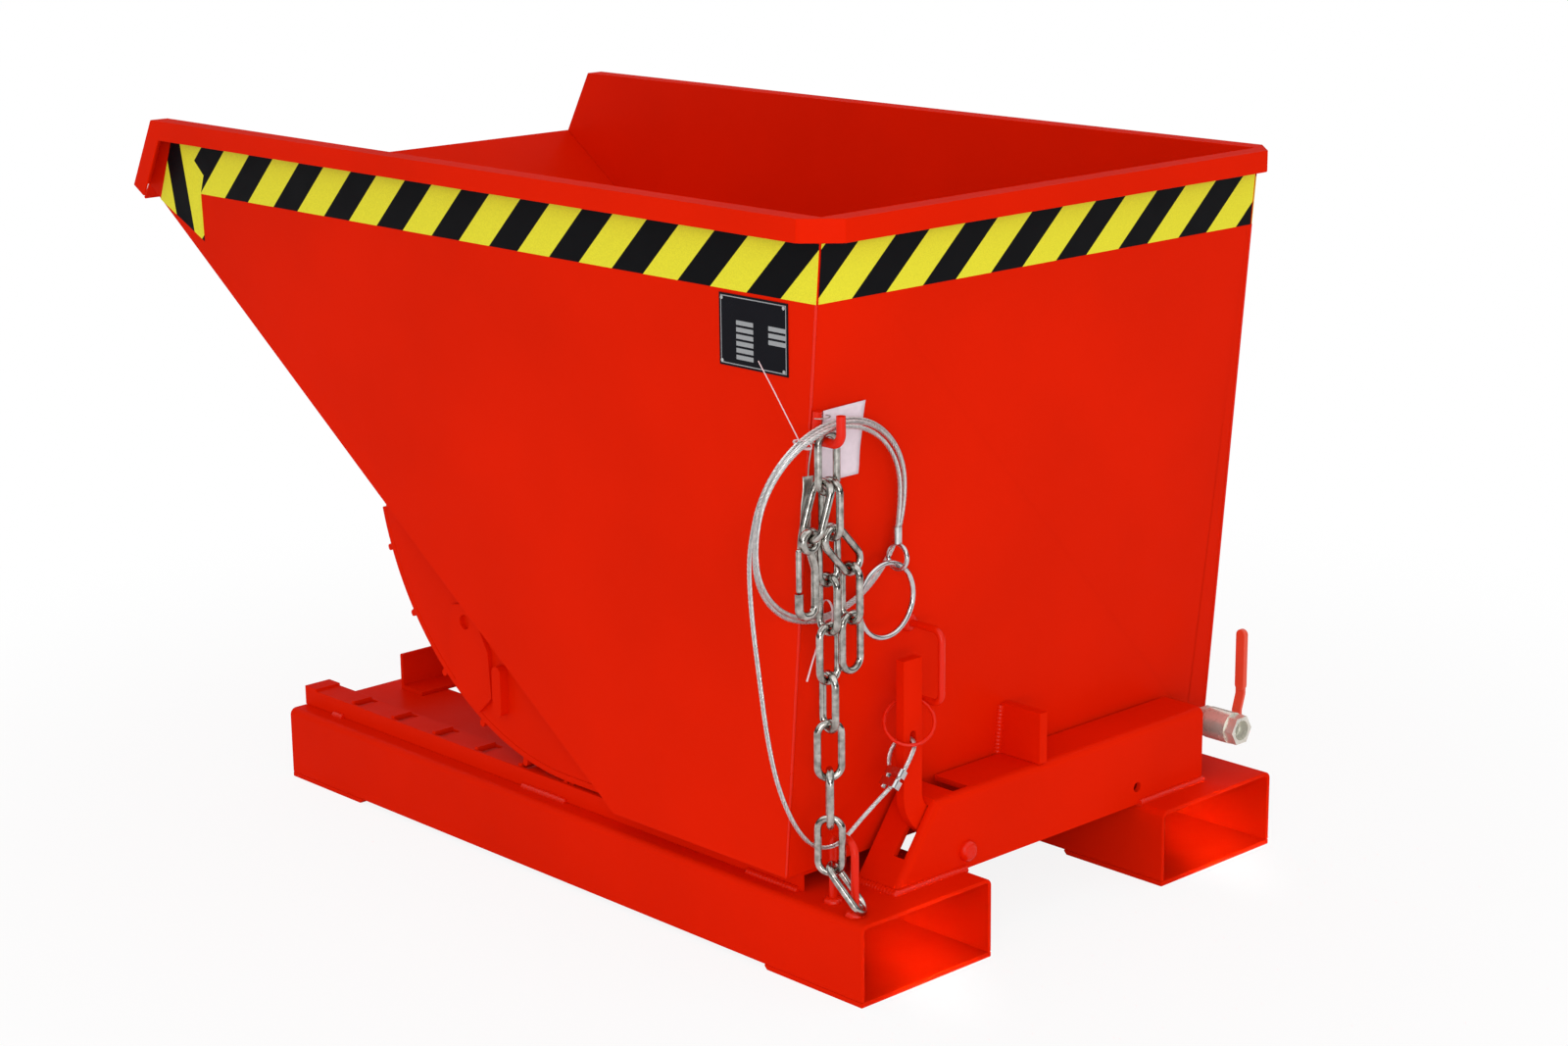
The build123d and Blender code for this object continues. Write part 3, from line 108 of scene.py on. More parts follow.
# %% [markdown]
# ## Light
# Studio pictures of this kind are taken in a white room. The world gives its even fill, and looks plain white
# to the camera. One even white would do for paint, but bright metal would turn flat in it. So in reflections
# the room's walls are darker than its ceiling, as in a real studio.

# %% World
FILL = 0.80
WALL_LEVEL, CEILING_LEVEL = 0.07, 1.25
WALL_TOP, CEILING_EDGE = 0.15, 0.60
WHITE = (1, 1, 1, 1)

world = bpy.data.worlds.new("white_room")
bpy.context.scene.world = world
world.use_nodes = True
room = world.node_tree
room.nodes.clear()
ray = add_node(room, "ShaderNodeLightPath").outputs
way = add_node(room, "ShaderNodeTexCoord").outputs["Generated"]
upward = add_node(room, "ShaderNodeSeparateXYZ", {0: way}).outputs["Z"]
mirrored = add_node(room, "ShaderNodeMapRange",
                    {"Value": upward, "From Min": WALL_TOP, "From Max": CEILING_EDGE,
                     "To Min": WALL_LEVEL, "To Max": CEILING_LEVEL},
                    interpolation_type="SMOOTHSTEP").outputs["Result"]
change = math_node(room, "SUBTRACT", mirrored, FILL)
level = math_node(room, "MULTIPLY_ADD", ray["Is Glossy Ray"], change, FILL)
seen = math_node(room, "MAXIMUM", ray["Is Camera Ray"], ray["Is Transmission Ray"])
fill = add_node(room, "ShaderNodeBackground", {"Color": WHITE, "Strength": level})
white = add_node(room, "ShaderNodeBackground", {"Color": WHITE, "Strength": 1.0})
mix = add_node(room, "ShaderNodeMixShader", {0: seen, 1: fill.outputs[0], 2: white.outputs[0]})
add_node(room, "ShaderNodeOutputWorld", {"Surface": mix.outputs[0]})
print("world fill", FILL)

# %% [markdown]
# The lamps are soft boxes, because a bare lamp would draw hard shadows. The main one is close to the camera and
# lifts the walls. A long low one lights what is near the floor, and two weaker ones add a gentle direction. A
# small strip with a narrow beam shines into each fork pocket, which would look like a dark tunnel without it.

# %% Lamps
MIDDLE = (0, 0, 0.4)
STRIP_SIZE = (0.06, 0.03)
STRIP_POWER = 0.07
STRIP_BEAM = 7.0


def soft_box(name, place, size, power, aim=MIDDLE, beam=180.0):
    data = bpy.data.lights.new(name, "AREA")
    data.shape = "RECTANGLE"
    data.size, data.size_y = size
    data.energy = power
    data.spread = math.radians(beam)
    lamp = bpy.data.objects.new(name, data)
    lamp.location = place
    lamp.visible_camera = False
    lamp.rotation_euler = (Vector(aim) - Vector(place)).to_track_quat("-Z", "Y").to_euler()
    bpy.context.scene.collection.objects.link(lamp)


soft_box("front_box", (2.9, -2.8, 1.7), (1.6, 1.0), 24.0)
soft_box("low_box", (3.3, -2.3, 0.42), (1.8, 0.5), 18.0)
soft_box("key_box", (0.4, -3.4, 3.0), (2.4, 1.6), 4.0)
soft_box("rear_box", (3.6, 0.9, 2.3), (1.8, 1.8), 2.0)
soft_box("near_pocket_strip", (1.5, -0.75, 0.36), STRIP_SIZE, STRIP_POWER, (0.44, -0.20, 0.004), STRIP_BEAM)
soft_box("far_pocket_strip", (1.5, -0.25, 0.36), STRIP_SIZE, STRIP_POWER, (0.44, 0.30, 0.004), STRIP_BEAM)
print("lamps:", [lamp.name for lamp in bpy.data.lights])

# %% [markdown]
# The floor is a wide pale sheet. A plain white one would show its far edge as a grey horizon. So close to the
# object it is mostly plain white and partly matt, which takes a faint shadow, and further out it fades into
# plain white.

# %% Floor
FLOOR_REACH = 14.0
FADE_START, FADE_END = 0.75, 1.7
WHITE_NEAR_OBJECT = 0.88
PALE = (0.93, 0.93, 0.93, 1)

edge = FLOOR_REACH / 2
floor_mesh = bpy.data.meshes.new("studio_floor")
corners = [(-edge, -edge, 0), (edge, -edge, 0), (edge, edge, 0), (-edge, edge, 0)]
floor_mesh.from_pydata(corners, [], [(0, 1, 2, 3)])
floor = bpy.data.objects.new("studio_floor", floor_mesh)
bpy.context.scene.collection.objects.link(floor)
floor_paint = bpy.data.materials.new("studio_floor")
floor_paint.use_nodes = True
tree = floor_paint.node_tree
tree.nodes.clear()
place = add_node(tree, "ShaderNodeTexCoord").outputs["Object"]
reach = add_node(tree, "ShaderNodeVectorMath", {0: place}, operation="LENGTH").outputs["Value"]
fade = add_node(tree, "ShaderNodeMapRange",
                {"Value": reach, "From Min": FADE_START, "From Max": FADE_END, "To Min": WHITE_NEAR_OBJECT},
                interpolation_type="SMOOTHSTEP").outputs["Result"]
seen = add_node(tree, "ShaderNodeLightPath").outputs["Is Camera Ray"]
share = math_node(tree, "MULTIPLY", fade, seen)
matt = add_node(tree, "ShaderNodeBsdfDiffuse", {"Color": PALE})
glow = add_node(tree, "ShaderNodeEmission", {"Color": WHITE, "Strength": 1.0})
mix = add_node(tree, "ShaderNodeMixShader", {0: share, 1: matt.outputs[0], 2: glow.outputs[0]})
add_node(tree, "ShaderNodeOutputMaterial", {"Surface": mix.outputs[0]})
floor_mesh.materials.append(floor_paint)
print("floor", FLOOR_REACH, "m wide")

# %% [markdown]
# ## The pull rope
# A 5 mm wire rope runs from the latch lever up to the hook, is wound there in two and a half loose turns, and
# ends in a pressed eye with a pull ring. The turns could be one helix, but turns that a hand has hung up differ
# in size, so each half turn has its own two ends. All sizes of the routes are in millimetres.

# %% Coil
CHAIN_X = 474.0
HOOK_Y = -345.0
COIL_TOP_Z = 619.6
COIL_LEAN = math.radians(8.5)
COIL_START_DROP = 27.0
COIL_SIDES = [(1.2, 104.0), (-7.5, -93.0), (-12.5, 124.0), (-14.0, -89.0), (-20.5, 133.0), (-22.5, -86.0)]
POINTS_PER_HALF_TURN = 8


def coil_ends():
    """Ends of the coil's half turns, at the far and the near side of the hook by turns."""
    ends = []
    for (far_x, far_y), (near_x, near_y) in zip(COIL_SIDES[::2], COIL_SIDES[1::2]):
        z = COIL_TOP_Z - math.sqrt(-far_y * near_y) * math.cos(COIL_LEAN)
        ends += [Vector((CHAIN_X + far_x, HOOK_Y + far_y, z)), Vector((CHAIN_X + near_x, HOOK_Y + near_y, z))]
    return ends


def coil_route():
    """Control points of the coil, from the free end upwards, half turns over and under by turns."""
    ends = coil_ends()
    upward = Vector((math.sin(COIL_LEAN), 0, math.cos(COIL_LEAN)))
    points = [ends[0] - upward * COIL_START_DROP, ends[0]]
    outward = 1 / math.cos(math.pi / POINTS_PER_HALF_TURN / 2)
    for start, end in zip(ends, ends[1:]):
        for step in range(1, POINTS_PER_HALF_TURN + 1):
            share = step / POINTS_PER_HALF_TURN
            reach = (start.y - end.y) / 2 * (outward if step < POINTS_PER_HALF_TURN else 1)
            place = start.lerp(end, share) + upward * reach * math.sin(math.pi * share)
            place.y = (start.y + end.y) / 2 + reach * math.cos(math.pi * share)
            points.append(place)
    return points


print("coil control points", len(coil_route()))

# %% [markdown]
# From the coil the rope falls in a slack bow to the lever, where its end is turned back through a hole. A route
# is one smooth NURBS spline, because straight runs with rounded corners look like bent wire. The long piece goes
# with the hopper, and the short loop through the lever's hole goes with the latch.

# %% Rope routes
ROPE_FALL = [(447, -430.5, 482), (449, -429, 430), (454, -425, 372), (458, -418.5, 303), (460, -406, 246.5),
             (457, -381, 197.6), (450, -351, 166), (450.5, -330, 156.5), (457.5, -312, 160), (464, -281, 188),
             (473.2, -256.6, 210.4)]
ROPE_LOOP = [(473.5, -256, 211), (479, -246.5, 221), (481, -235, 236), (477, -216.5, 256), (451, -216.5, 256),
             (449, -233, 238), (465, -246, 221), (464.5, -257, 210)]


def plain_mesh(piece):
    """Mesh that a piece's curve or modifiers make."""
    bpy.context.view_layer.update()
    return bpy.data.meshes.new_from_object(piece.evaluated_get(bpy.context.evaluated_depsgraph_get()))


def route_line(name, points):
    """Points read from a NURBS spline through the route, and its length."""
    curve = bpy.data.curves.new(name, "CURVE")
    curve.dimensions = "3D"
    spline = curve.splines.new("NURBS")
    spline.points.add(len(points) - 1)
    for point, place in zip(spline.points, points):
        point.co = (*[value * MM for value in place], 1)
    spline.order_u = 3
    spline.use_endpoint_u = True
    spline.resolution_u = 6
    holder = bpy.data.objects.new(name, curve)
    bpy.context.scene.collection.objects.link(holder)
    line = plain_mesh(holder)
    read = [vertex.co.copy() for vertex in line.vertices]
    bpy.data.objects.remove(holder)
    bpy.data.curves.remove(curve)
    bpy.data.meshes.remove(line)
    length = sum((b - a).length for a, b in zip(read, read[1:]))
    print(name, "points", len(read), "length", round(length, 4), "m")
    return read, length


long_line, long_length = route_line("long_route", (coil_route() + ROPE_FALL)[::-1])
loop_line, loop_length = route_line("loop_route", ROPE_LOOP)

# %% [markdown]
# ## Helpers for Geometry Nodes
# Ropes, wires, straps and weld beads all follow a line. Each could be a bevelled curve, but a tree can also
# twist its section or let it swell. These helpers make a tree with named inputs, start it with an even line,
# end it, and turn its result into a plain mesh.

# %% Tree helpers
FLOAT, INTEGER, MATERIAL = "NodeSocketFloat", "NodeSocketInt", "NodeSocketMaterial"


def new_tree(name, inputs):
    """Geometry node tree with a geometry input and other named inputs."""
    tree = bpy.data.node_groups.new(name, "GeometryNodeTree")
    tree.interface.new_socket("Geometry", in_out="INPUT", socket_type="NodeSocketGeometry")
    for input_name, kind in inputs.items():
        tree.interface.new_socket(input_name, in_out="INPUT", socket_type=kind)
    tree.interface.new_socket("Geometry", in_out="OUTPUT", socket_type="NodeSocketGeometry")
    return tree, add_node(tree, "NodeGroupInput").outputs


def stepped_line(tree, given):
    """Curve along the starting mesh's edges, in even steps, and the distance along it."""
    wire = add_node(tree, "GeometryNodeMeshToCurve", {"Mesh": given["Geometry"]})
    steps = add_node(tree, "GeometryNodeResampleCurve", {"Curve": wire.outputs[0], "Length": given["Step"]},
                     mode="LENGTH")
    return steps.outputs[0], add_node(tree, "GeometryNodeSplineParameter").outputs["Length"]


def close_tree(tree, geometry, finish):
    """Realize the instances, smooth the faces and set the material at the end of a tree."""
    real = add_node(tree, "GeometryNodeRealizeInstances", {"Geometry": geometry})
    smooth = add_node(tree, "GeometryNodeSetShadeSmooth", {"Geometry": real.outputs[0]})
    done = add_node(tree, "GeometryNodeSetMaterial", {"Geometry": smooth.outputs[0], "Material": finish})
    add_node(tree, "NodeGroupOutput", {"Geometry": done.outputs[0]})


print("tree helpers ready")


# %% Growing a piece from a line
def set_inputs(modifier, values):
    """Set the named inputs of a modifier's tree by their identifiers."""
    for item in modifier.node_group.interface.items_tree:
        if item.in_out == "INPUT" and item.name in values:
            modifier[item.identifier] = values[item.name]


def lines_mesh(name, lines):
    """Mesh of loose edges that runs along each line of points."""
    verts, edges = [], []
    for line in lines:
        first = len(verts)
        verts += [tuple(point) for point in line]
        edges += [(first + i, first + i + 1) for i in range(len(line) - 1)]
    mesh = bpy.data.meshes.new(name)
    mesh.from_pydata(verts, edges, [])
    return mesh


def grow(name, lines, tree, values):
    """Piece that a tree makes along lines of points, as a plain mesh."""
    start = lines_mesh(name, lines)
    piece = bpy.data.objects.new(name, start)
    bpy.context.scene.collection.objects.link(piece)
    modifier = piece.modifiers.new(name, "NODES")
    modifier.node_group = tree
    set_inputs(modifier, values)
    grown = plain_mesh(piece)
    piece.modifiers.clear()
    piece.data = grown
    grown.name = name
    bpy.data.meshes.remove(start)
    print(name, "faces", len(grown.polygons))
    return piece


print("growing helpers ready")

# %% [markdown]
# ## Shared effects
# Two effects are used by more than one material, so each is a node group: a sprayed coat and plated steel. Both
# are built from noise at a few scales, so that they fit a part of any size and need no picture.


# %% Effect helpers
def effect_group(name, inputs, outputs):
    group = bpy.data.node_groups.new(name, "ShaderNodeTree")
    for socket_name, kind in inputs.items():
        group.interface.new_socket(socket_name, in_out="INPUT", socket_type=kind)
    for socket_name, kind in outputs.items():
        group.interface.new_socket(socket_name, in_out="OUTPUT", socket_type=kind)
    return group, add_node(group, "NodeGroupInput").outputs, add_node(group, "NodeGroupOutput").inputs


def noise(tree, vector, scale, detail=2.0):
    node = add_node(tree, "ShaderNodeTexNoise", {"Vector": vector, "Scale": scale, "Detail": detail})
    return node.outputs["Fac"]


def spread(tree, value, low, high, start=0.3, end=0.7):
    """A value between start and end, spread between two limits."""
    return add_node(tree, "ShaderNodeMapRange", {"Value": value, "From Min": start, "From Max": end,
                                                 "To Min": low, "To Max": high}).outputs["Result"]


COLOR, VECTOR = "NodeSocketColor", "NodeSocketVector"
SURFACE = {"Color": COLOR, "Roughness": FLOAT, "Normal": VECTOR}
print("an effect puts out", list(SURFACE))

# %% [markdown]
# Sprayed paint has faint clouds of colour, slightly uneven gloss, and the fine bumps that painters call orange
# peel, which ride on longer waves.

# %% Sprayed coat
COAT_CLOUDS, COAT_PATCHES, COAT_WAVES, COAT_PEEL = 4.0, 22.0, 60.0, 420.0
WAVE_SHARE = 1.6
PEEL_HEIGHT = 0.0004

sprayed, given, put = effect_group("sprayed_coat", {"Paint": COLOR, "Gloss": FLOAT, "Peel": FLOAT}, SURFACE)
place = add_node(sprayed, "ShaderNodeTexCoord").outputs["Object"]
cloud = spread(sprayed, noise(sprayed, place, COAT_CLOUDS, 3.0), 0.94, 1.05)
tint = add_node(sprayed, "ShaderNodeHueSaturation", {"Color": given["Paint"], "Value": cloud})
sprayed.links.new(tint.outputs[0], put["Color"])
patch = spread(sprayed, noise(sprayed, place, COAT_PATCHES), -0.05, 0.06)
sprayed.links.new(math_node(sprayed, "ADD", given["Gloss"], patch), put["Roughness"])
peel = noise(sprayed, place, COAT_PEEL, 1.0)
waves = noise(sprayed, place, COAT_WAVES, 1.0)
height = math_node(sprayed, "MULTIPLY_ADD", waves, WAVE_SHARE, peel)
bump = add_node(sprayed, "ShaderNodeBump",
                {"Strength": given["Peel"], "Distance": PEEL_HEIGHT, "Height": height})
sprayed.links.new(bump.outputs[0], put["Normal"])
print("made", sprayed.name)

# %% [markdown]
# Zinc, nickel and drawn wire are never even: the plating is bright in some spots and dull in others, and its
# skin is slightly rough. The size of the spots differs, so their scale is an input.

# %% Plated steel
PLATING_PATCHES, PLATING_GRAIN = 55.0, 700.0
GRAIN_STRENGTH, GRAIN_HEIGHT = 0.12, 0.0003

plated, given, put = effect_group("plated_steel",
                                  {"Bright": COLOR, "Dull": COLOR, "Gloss": FLOAT, "Scale": FLOAT}, SURFACE)
place = add_node(plated, "ShaderNodeTexCoord").outputs["Object"]
cloud = spread(plated, noise(plated, place, given["Scale"], 4.0), 0.0, 1.0)
blend = add_node(plated, "ShaderNodeMix", {"Factor": cloud, 6: given["Dull"], 7: given["Bright"]},
                 data_type="RGBA")
plated.links.new(blend.outputs[2], put["Color"])
patch = spread(plated, noise(plated, place, PLATING_PATCHES), -0.07, 0.10)
plated.links.new(math_node(plated, "ADD", given["Gloss"], patch), put["Roughness"])
grain = noise(plated, place, PLATING_GRAIN)
bump = add_node(plated, "ShaderNodeBump",
                {"Strength": GRAIN_STRENGTH, "Distance": GRAIN_HEIGHT, "Height": grain})
plated.links.new(bump.outputs[0], put["Normal"])
print("made", plated.name)

# %% [markdown]
# ## Finishes
# A finish is one Principled shader with an effect group in front of it. What is the same all over the surface
# is set on the shader itself. The red paint lies glossier on bars and weld beads, where it runs and pools, than
# on the wide sheets, so it is made twice.


# %% Finishes
def new_finish(name):
    finish = bpy.data.materials.new(name)
    finish.use_nodes = True
    return finish, finish.node_tree, finish.node_tree.nodes["Principled BSDF"].inputs


def use_effect(tree, shader, group, values):
    """Place an effect group in a finish and join it to the shader."""
    effect = add_node(tree, "ShaderNodeGroup", values, node_tree=group)
    for name in SURFACE:
        tree.links.new(effect.outputs[name], shader["Base Color" if name == "Color" else name])


def painted(name, color, gloss, peel=0.25, specular=0.3):
    finish, tree, shader = new_finish(name)
    use_effect(tree, shader, sprayed, {"Paint": (*color, 1), "Gloss": gloss, "Peel": peel})
    shader["Specular IOR Level"].default_value = specular
    return finish


def metal(name, bright, dull, gloss, scale, metallic=1.0):
    finish, tree, shader = new_finish(name)
    use_effect(tree, shader, plated,
               {"Bright": (*bright, 1), "Dull": (*dull, 1), "Gloss": gloss, "Scale": scale})
    shader["Metallic"].default_value = metallic
    return finish


RED = (0.72, 0.0125, 0.0003)
red_paint = painted("red_paint", RED, gloss=0.38, specular=0.012)
red_bar = painted("red_bar", RED, gloss=0.24, specular=0.22)
zinc = metal("zinc_plate", (0.62, 0.60, 0.56), (0.20, 0.19, 0.17), gloss=0.13, scale=130.0)
bright_steel = metal("bright_steel", (0.70, 0.70, 0.70), (0.52, 0.52, 0.53), gloss=0.20, scale=90.0)
strand_wire = metal("strand_wire", (0.88, 0.88, 0.87), (0.60, 0.60, 0.60), gloss=0.32, scale=300.0)
nickel = metal("nickel_plate", (0.84, 0.83, 0.75), (0.62, 0.61, 0.53), gloss=0.24, scale=60.0, metallic=0.5)
red_grip = painted("red_grip", (0.82, 0.075, 0.030), gloss=0.36, peel=0.10, specular=0.45)
seat_white = painted("seat_white", (0.80, 0.80, 0.78), gloss=0.45, peel=0.05, specular=0.4)
print("finishes:", [finish.name for finish in bpy.data.materials])

# %% [markdown]
# ## Hazard tape
# The tape under the rim is yellow and black in slanting bars. The bars could be strips of mesh, but tape is
# printed, so they are a mask. A group turns a place on the tape into that mask: X runs along the tape, and Y up.

# %% Slanting bars
YELLOW_SHARE = 0.52
EDGE_BLUR = 0.006

bars, given, put = effect_group("slanting_bars", {"Place": VECTOR, "Period": FLOAT, "Start": FLOAT},
                                {"Mask": FLOAT})
parts = add_node(bars, "ShaderNodeSeparateXYZ", {0: given["Place"]}).outputs
along = math_node(bars, "SUBTRACT", parts["X"], parts["Y"])
along = math_node(bars, "DIVIDE", math_node(bars, "SUBTRACT", along, given["Start"]), given["Period"])
phase = math_node(bars, "FRACT", along)
edge_low = spread(bars, phase, 0.0, 1.0, 0.0, EDGE_BLUR)
edge_high = spread(bars, phase, 1.0, 0.0, YELLOW_SHARE, YELLOW_SHARE + EDGE_BLUR)
bars.links.new(math_node(bars, "MULTIPLY", edge_low, edge_high), put["Mask"])
print("tape bars, yellow share", YELLOW_SHARE)

# %% [markdown]
# At the front of each side a second piece of tape is lapped over the first and runs down the edge. Its outline
# and its own bars are slanting lines. Each is kept as its run for each unit up, and a point along and up on it.

# %% Lapped end
LAP_UPPER_EDGE = (1.0, (-0.661, 0.790))
NOTCH_UPPER_EDGE = (-1.15, (-0.663, 0.788))
NOTCH_LOWER_EDGE = (0.36, (-0.640, 0.768))
LAP_BAR_REAR = (-0.21, (-0.685, 0.775))
LAP_BAR_FRONT = (-0.21, (-0.721, 0.775))


def line_at(tree, up, line):
    """Place along the tape of a slanting line at a height."""
    run, (point_along, point_up) = line
    return math_node(tree, "MULTIPLY_ADD", up, run, point_along - run * point_up)


def lapped_end(tree, vector, mask):
    """Bars with the front end covered by the second piece of tape."""
    parts = add_node(tree, "ShaderNodeSeparateXYZ", {0: vector}).outputs
    along, up = parts["X"], parts["Y"]
    notch = math_node(tree, "MINIMUM", line_at(tree, up, NOTCH_UPPER_EDGE), line_at(tree, up, NOTCH_LOWER_EDGE))
    lap_edge = math_node(tree, "MAXIMUM", line_at(tree, up, LAP_UPPER_EDGE), notch)
    covered = math_node(tree, "LESS_THAN", along, lap_edge)
    behind = math_node(tree, "GREATER_THAN", along, line_at(tree, up, LAP_BAR_REAR))
    before = math_node(tree, "LESS_THAN", along, line_at(tree, up, LAP_BAR_FRONT))
    second = math_node(tree, "MAXIMUM", behind, before)
    kept = math_node(tree, "MULTIPLY", mask, math_node(tree, "SUBTRACT", 1.0, covered))
    return math_node(tree, "MULTIPLY_ADD", second, covered, kept)


print("lapped end ready")

# %% [markdown]
# Each band turns its own place so that X runs along it and Y up it. The yellow is slightly grainy, and the
# gloss uneven, as on printed film.

# %% Hazard tape
TAPE_YELLOW = (0.78, 0.72, 0.035, 1)
TAPE_BLACK = (0.004, 0.004, 0.005, 1)
FILM_GRAIN, FILM_PATCHES = 900.0, 30.0
FILM_SPECULAR = 0.05


def tape(name, turn_degrees, period, start, lapped=False):
    finish, tree, shader = new_finish(name)
    place = add_node(tree, "ShaderNodeTexCoord").outputs["Object"]
    turn = [math.radians(angle) for angle in turn_degrees]
    turned = add_node(tree, "ShaderNodeMapping", {"Vector": place, "Rotation": turn}).outputs[0]
    mask = add_node(tree, "ShaderNodeGroup", {"Place": turned, "Period": period, "Start": start},
                    node_tree=bars).outputs[0]
    if lapped:
        mask = lapped_end(tree, turned, mask)
    grain = spread(tree, noise(tree, place, FILM_GRAIN, 1.0), 0.92, 1.05)
    yellow = add_node(tree, "ShaderNodeHueSaturation", {"Color": TAPE_YELLOW, "Value": grain}).outputs[0]
    color = add_node(tree, "ShaderNodeMix", {"Factor": mask, 6: TAPE_BLACK, 7: yellow}, data_type="RGBA")
    tree.links.new(color.outputs[2], shader["Base Color"])
    tree.links.new(spread(tree, noise(tree, place, FILM_PATCHES), 0.34, 0.48), shader["Roughness"])
    shader["Specular IOR Level"].default_value = FILM_SPECULAR
    return finish


side_tape = tape("side_tape", (-90, 0, 0), period=0.1063, start=-0.756, lapped=True)
rear_tape = tape("rear_tape", (-90, -90, 0), period=0.1034, start=-0.788)
print("tapes:", side_tape.name, rear_tape.name)

# %% [markdown]
# ## Type plate
# The type plate is a black printed sheet. It stays blank here: only its border line and its grey bars are
# drawn. They are measured as shares of the plate's own box, so they follow the plate if it moves. A field is
# given by its middle and half its width, first across and then up.

# %% Type plate
ROWS = 10.5
ROW_BAR = (0.5, 0.33)
LEFT_FIELD = ((0.375, 0.125), (0.39, 0.285))
RIGHT_FIELD = ((0.845, 0.125), (0.525, 0.15))
BORDER_OUTSIDE = ((0.5, 0.478), (0.5, 0.47))
BORDER_INSIDE = ((0.5, 0.468), (0.5, 0.456))
PLATE_PATCHES = 40.0
PLATE_BLACK = (0.007, 0.007, 0.010, 1)
PLATE_GREY = (0.32, 0.33, 0.34, 1)

low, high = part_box("type_plate")
black_plate, tree, shader = new_finish("black_plate")
place = add_node(tree, "ShaderNodeTexCoord").outputs["Object"]
parts = add_node(tree, "ShaderNodeSeparateXYZ", {0: place}).outputs


def share_of(axis):
    """Share of the plate's box along an axis."""
    span = high[axis] - low[axis]
    return math_node(tree, "MULTIPLY_ADD", parts["XYZ"[axis]], 1 / span, -low[axis] / span)


across, up = share_of(0), share_of(2)


def field(span_across, span_up):
    inside = [math_node(tree, "COMPARE", value, *span) for value, span in ((across, span_across), (up, span_up))]
    return math_node(tree, "MULTIPLY", *inside)


row = math_node(tree, "FRACT", math_node(tree, "MULTIPLY", up, ROWS))
bar = math_node(tree, "COMPARE", row, *ROW_BAR)
fields = math_node(tree, "MULTIPLY", math_node(tree, "MAXIMUM", field(*LEFT_FIELD), field(*RIGHT_FIELD)), bar)
border = math_node(tree, "SUBTRACT", field(*BORDER_OUTSIDE), field(*BORDER_INSIDE))
light = math_node(tree, "MAXIMUM", border, fields)
color = add_node(tree, "ShaderNodeMix", {"Factor": light, 6: PLATE_BLACK, 7: PLATE_GREY}, data_type="RGBA")
tree.links.new(color.outputs[2], shader["Base Color"])
tree.links.new(spread(tree, noise(tree, place, PLATE_PATCHES), 0.26, 0.40), shader["Roughness"])
shader["Specular IOR Level"].default_value = FILM_SPECULAR
print("type plate", [round(v, 3) for v in high - low])

# %% [markdown]
# ## Dressing the solid parts
# Sheet steel has rounded edges, and a solid's sharp ones look like paper. Each painted part but the rear cross
# channel gets a small bevel.
# The solids come as loose triangles with fixed normals, so a short tree first joins the triangles and drops
# those normals, and a second one smooths the shading up to an angle. Weighted normals then keep wide faces flat
# beside their bevels.

# %% Shading trees
MERGE_DISTANCE = 0.00002
SMOOTH_ANGLE = math.radians(35)

join, given = new_tree("join_triangles", {})
plain = add_node(join, "GeometryNodeRemoveAttribute", {"Geometry": given["Geometry"], "Name": "custom_normal"})
merged = add_node(join, "GeometryNodeMergeByDistance",
                  {"Geometry": plain.outputs[0], "Distance": MERGE_DISTANCE})
add_node(join, "NodeGroupOutput", {"Geometry": merged.outputs[0]})

shade, given = new_tree("shade_by_angle", {"Angle": FLOAT})
smooth = add_node(shade, "GeometryNodeSetShadeSmooth", {"Geometry": given["Geometry"], "Shade Smooth": True})
fold = add_node(shade, "GeometryNodeInputMeshEdgeAngle").outputs["Unsigned Angle"]
sharp = add_node(shade, "FunctionNodeCompare", {0: fold, 1: given["Angle"]}, operation="GREATER_THAN").outputs[0]
creased = add_node(shade, "GeometryNodeSetShadeSmooth",
                   {"Geometry": smooth.outputs[0], "Selection": sharp, "Shade Smooth": False}, domain="EDGE")
add_node(shade, "NodeGroupOutput", {"Geometry": creased.outputs[0]})
print("shading trees:", join.name, shade.name)


# %% Dressing a part
def dress(name, finish, bevel=0.0):
    """Give a solid part its finish, its edge bevel and its shading."""
    part = nodes[name]
    part.data.materials.clear()
    part.data.materials.append(finish)
    part.modifiers.new("join", "NODES").node_group = join
    if bevel:
        rounding = part.modifiers.new("edges", "BEVEL")
        rounding.width = bevel
        rounding.segments = 2
        rounding.limit_method = "ANGLE"
        rounding.angle_limit = SMOOTH_ANGLE
        rounding.use_clamp_overlap = True
    shading = part.modifiers.new("shading", "NODES")
    shading.node_group = shade
    set_inputs(shading, {"Angle": SMOOTH_ANGLE})
    if bevel:
        part.modifiers.new("flat_faces", "WEIGHTED_NORMAL").keep_sharp = True


print("dress helper ready")

# %% [markdown]
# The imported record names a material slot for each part, so most parts find their finish through it. A table of
# parts would do the same, but it would have to be kept in step with the record.

# %% Finishes on the parts
SLOT_FINISH = {"red_paint": red_paint, "zinc": zinc, "wire_rope": strand_wire, "bright_steel": bright_steel,
               "nickel": nickel, "red_grip": red_grip, "hazard_tape": side_tape, "black_plate": black_plate,
               "seat_white": seat_white}
GLOSSY_PARTS = ("ring_staple", "chain_eye", "securing_ring", "stow_hook", "latch_pivot_bolt")
OWN_FINISH = {"rear_hazard_band": rear_tape} | dict.fromkeys(GLOSSY_PARTS, red_bar)
SHEET_BEVEL = 0.0012
SQUARE_PARTS = {"rear_cross_channel"}

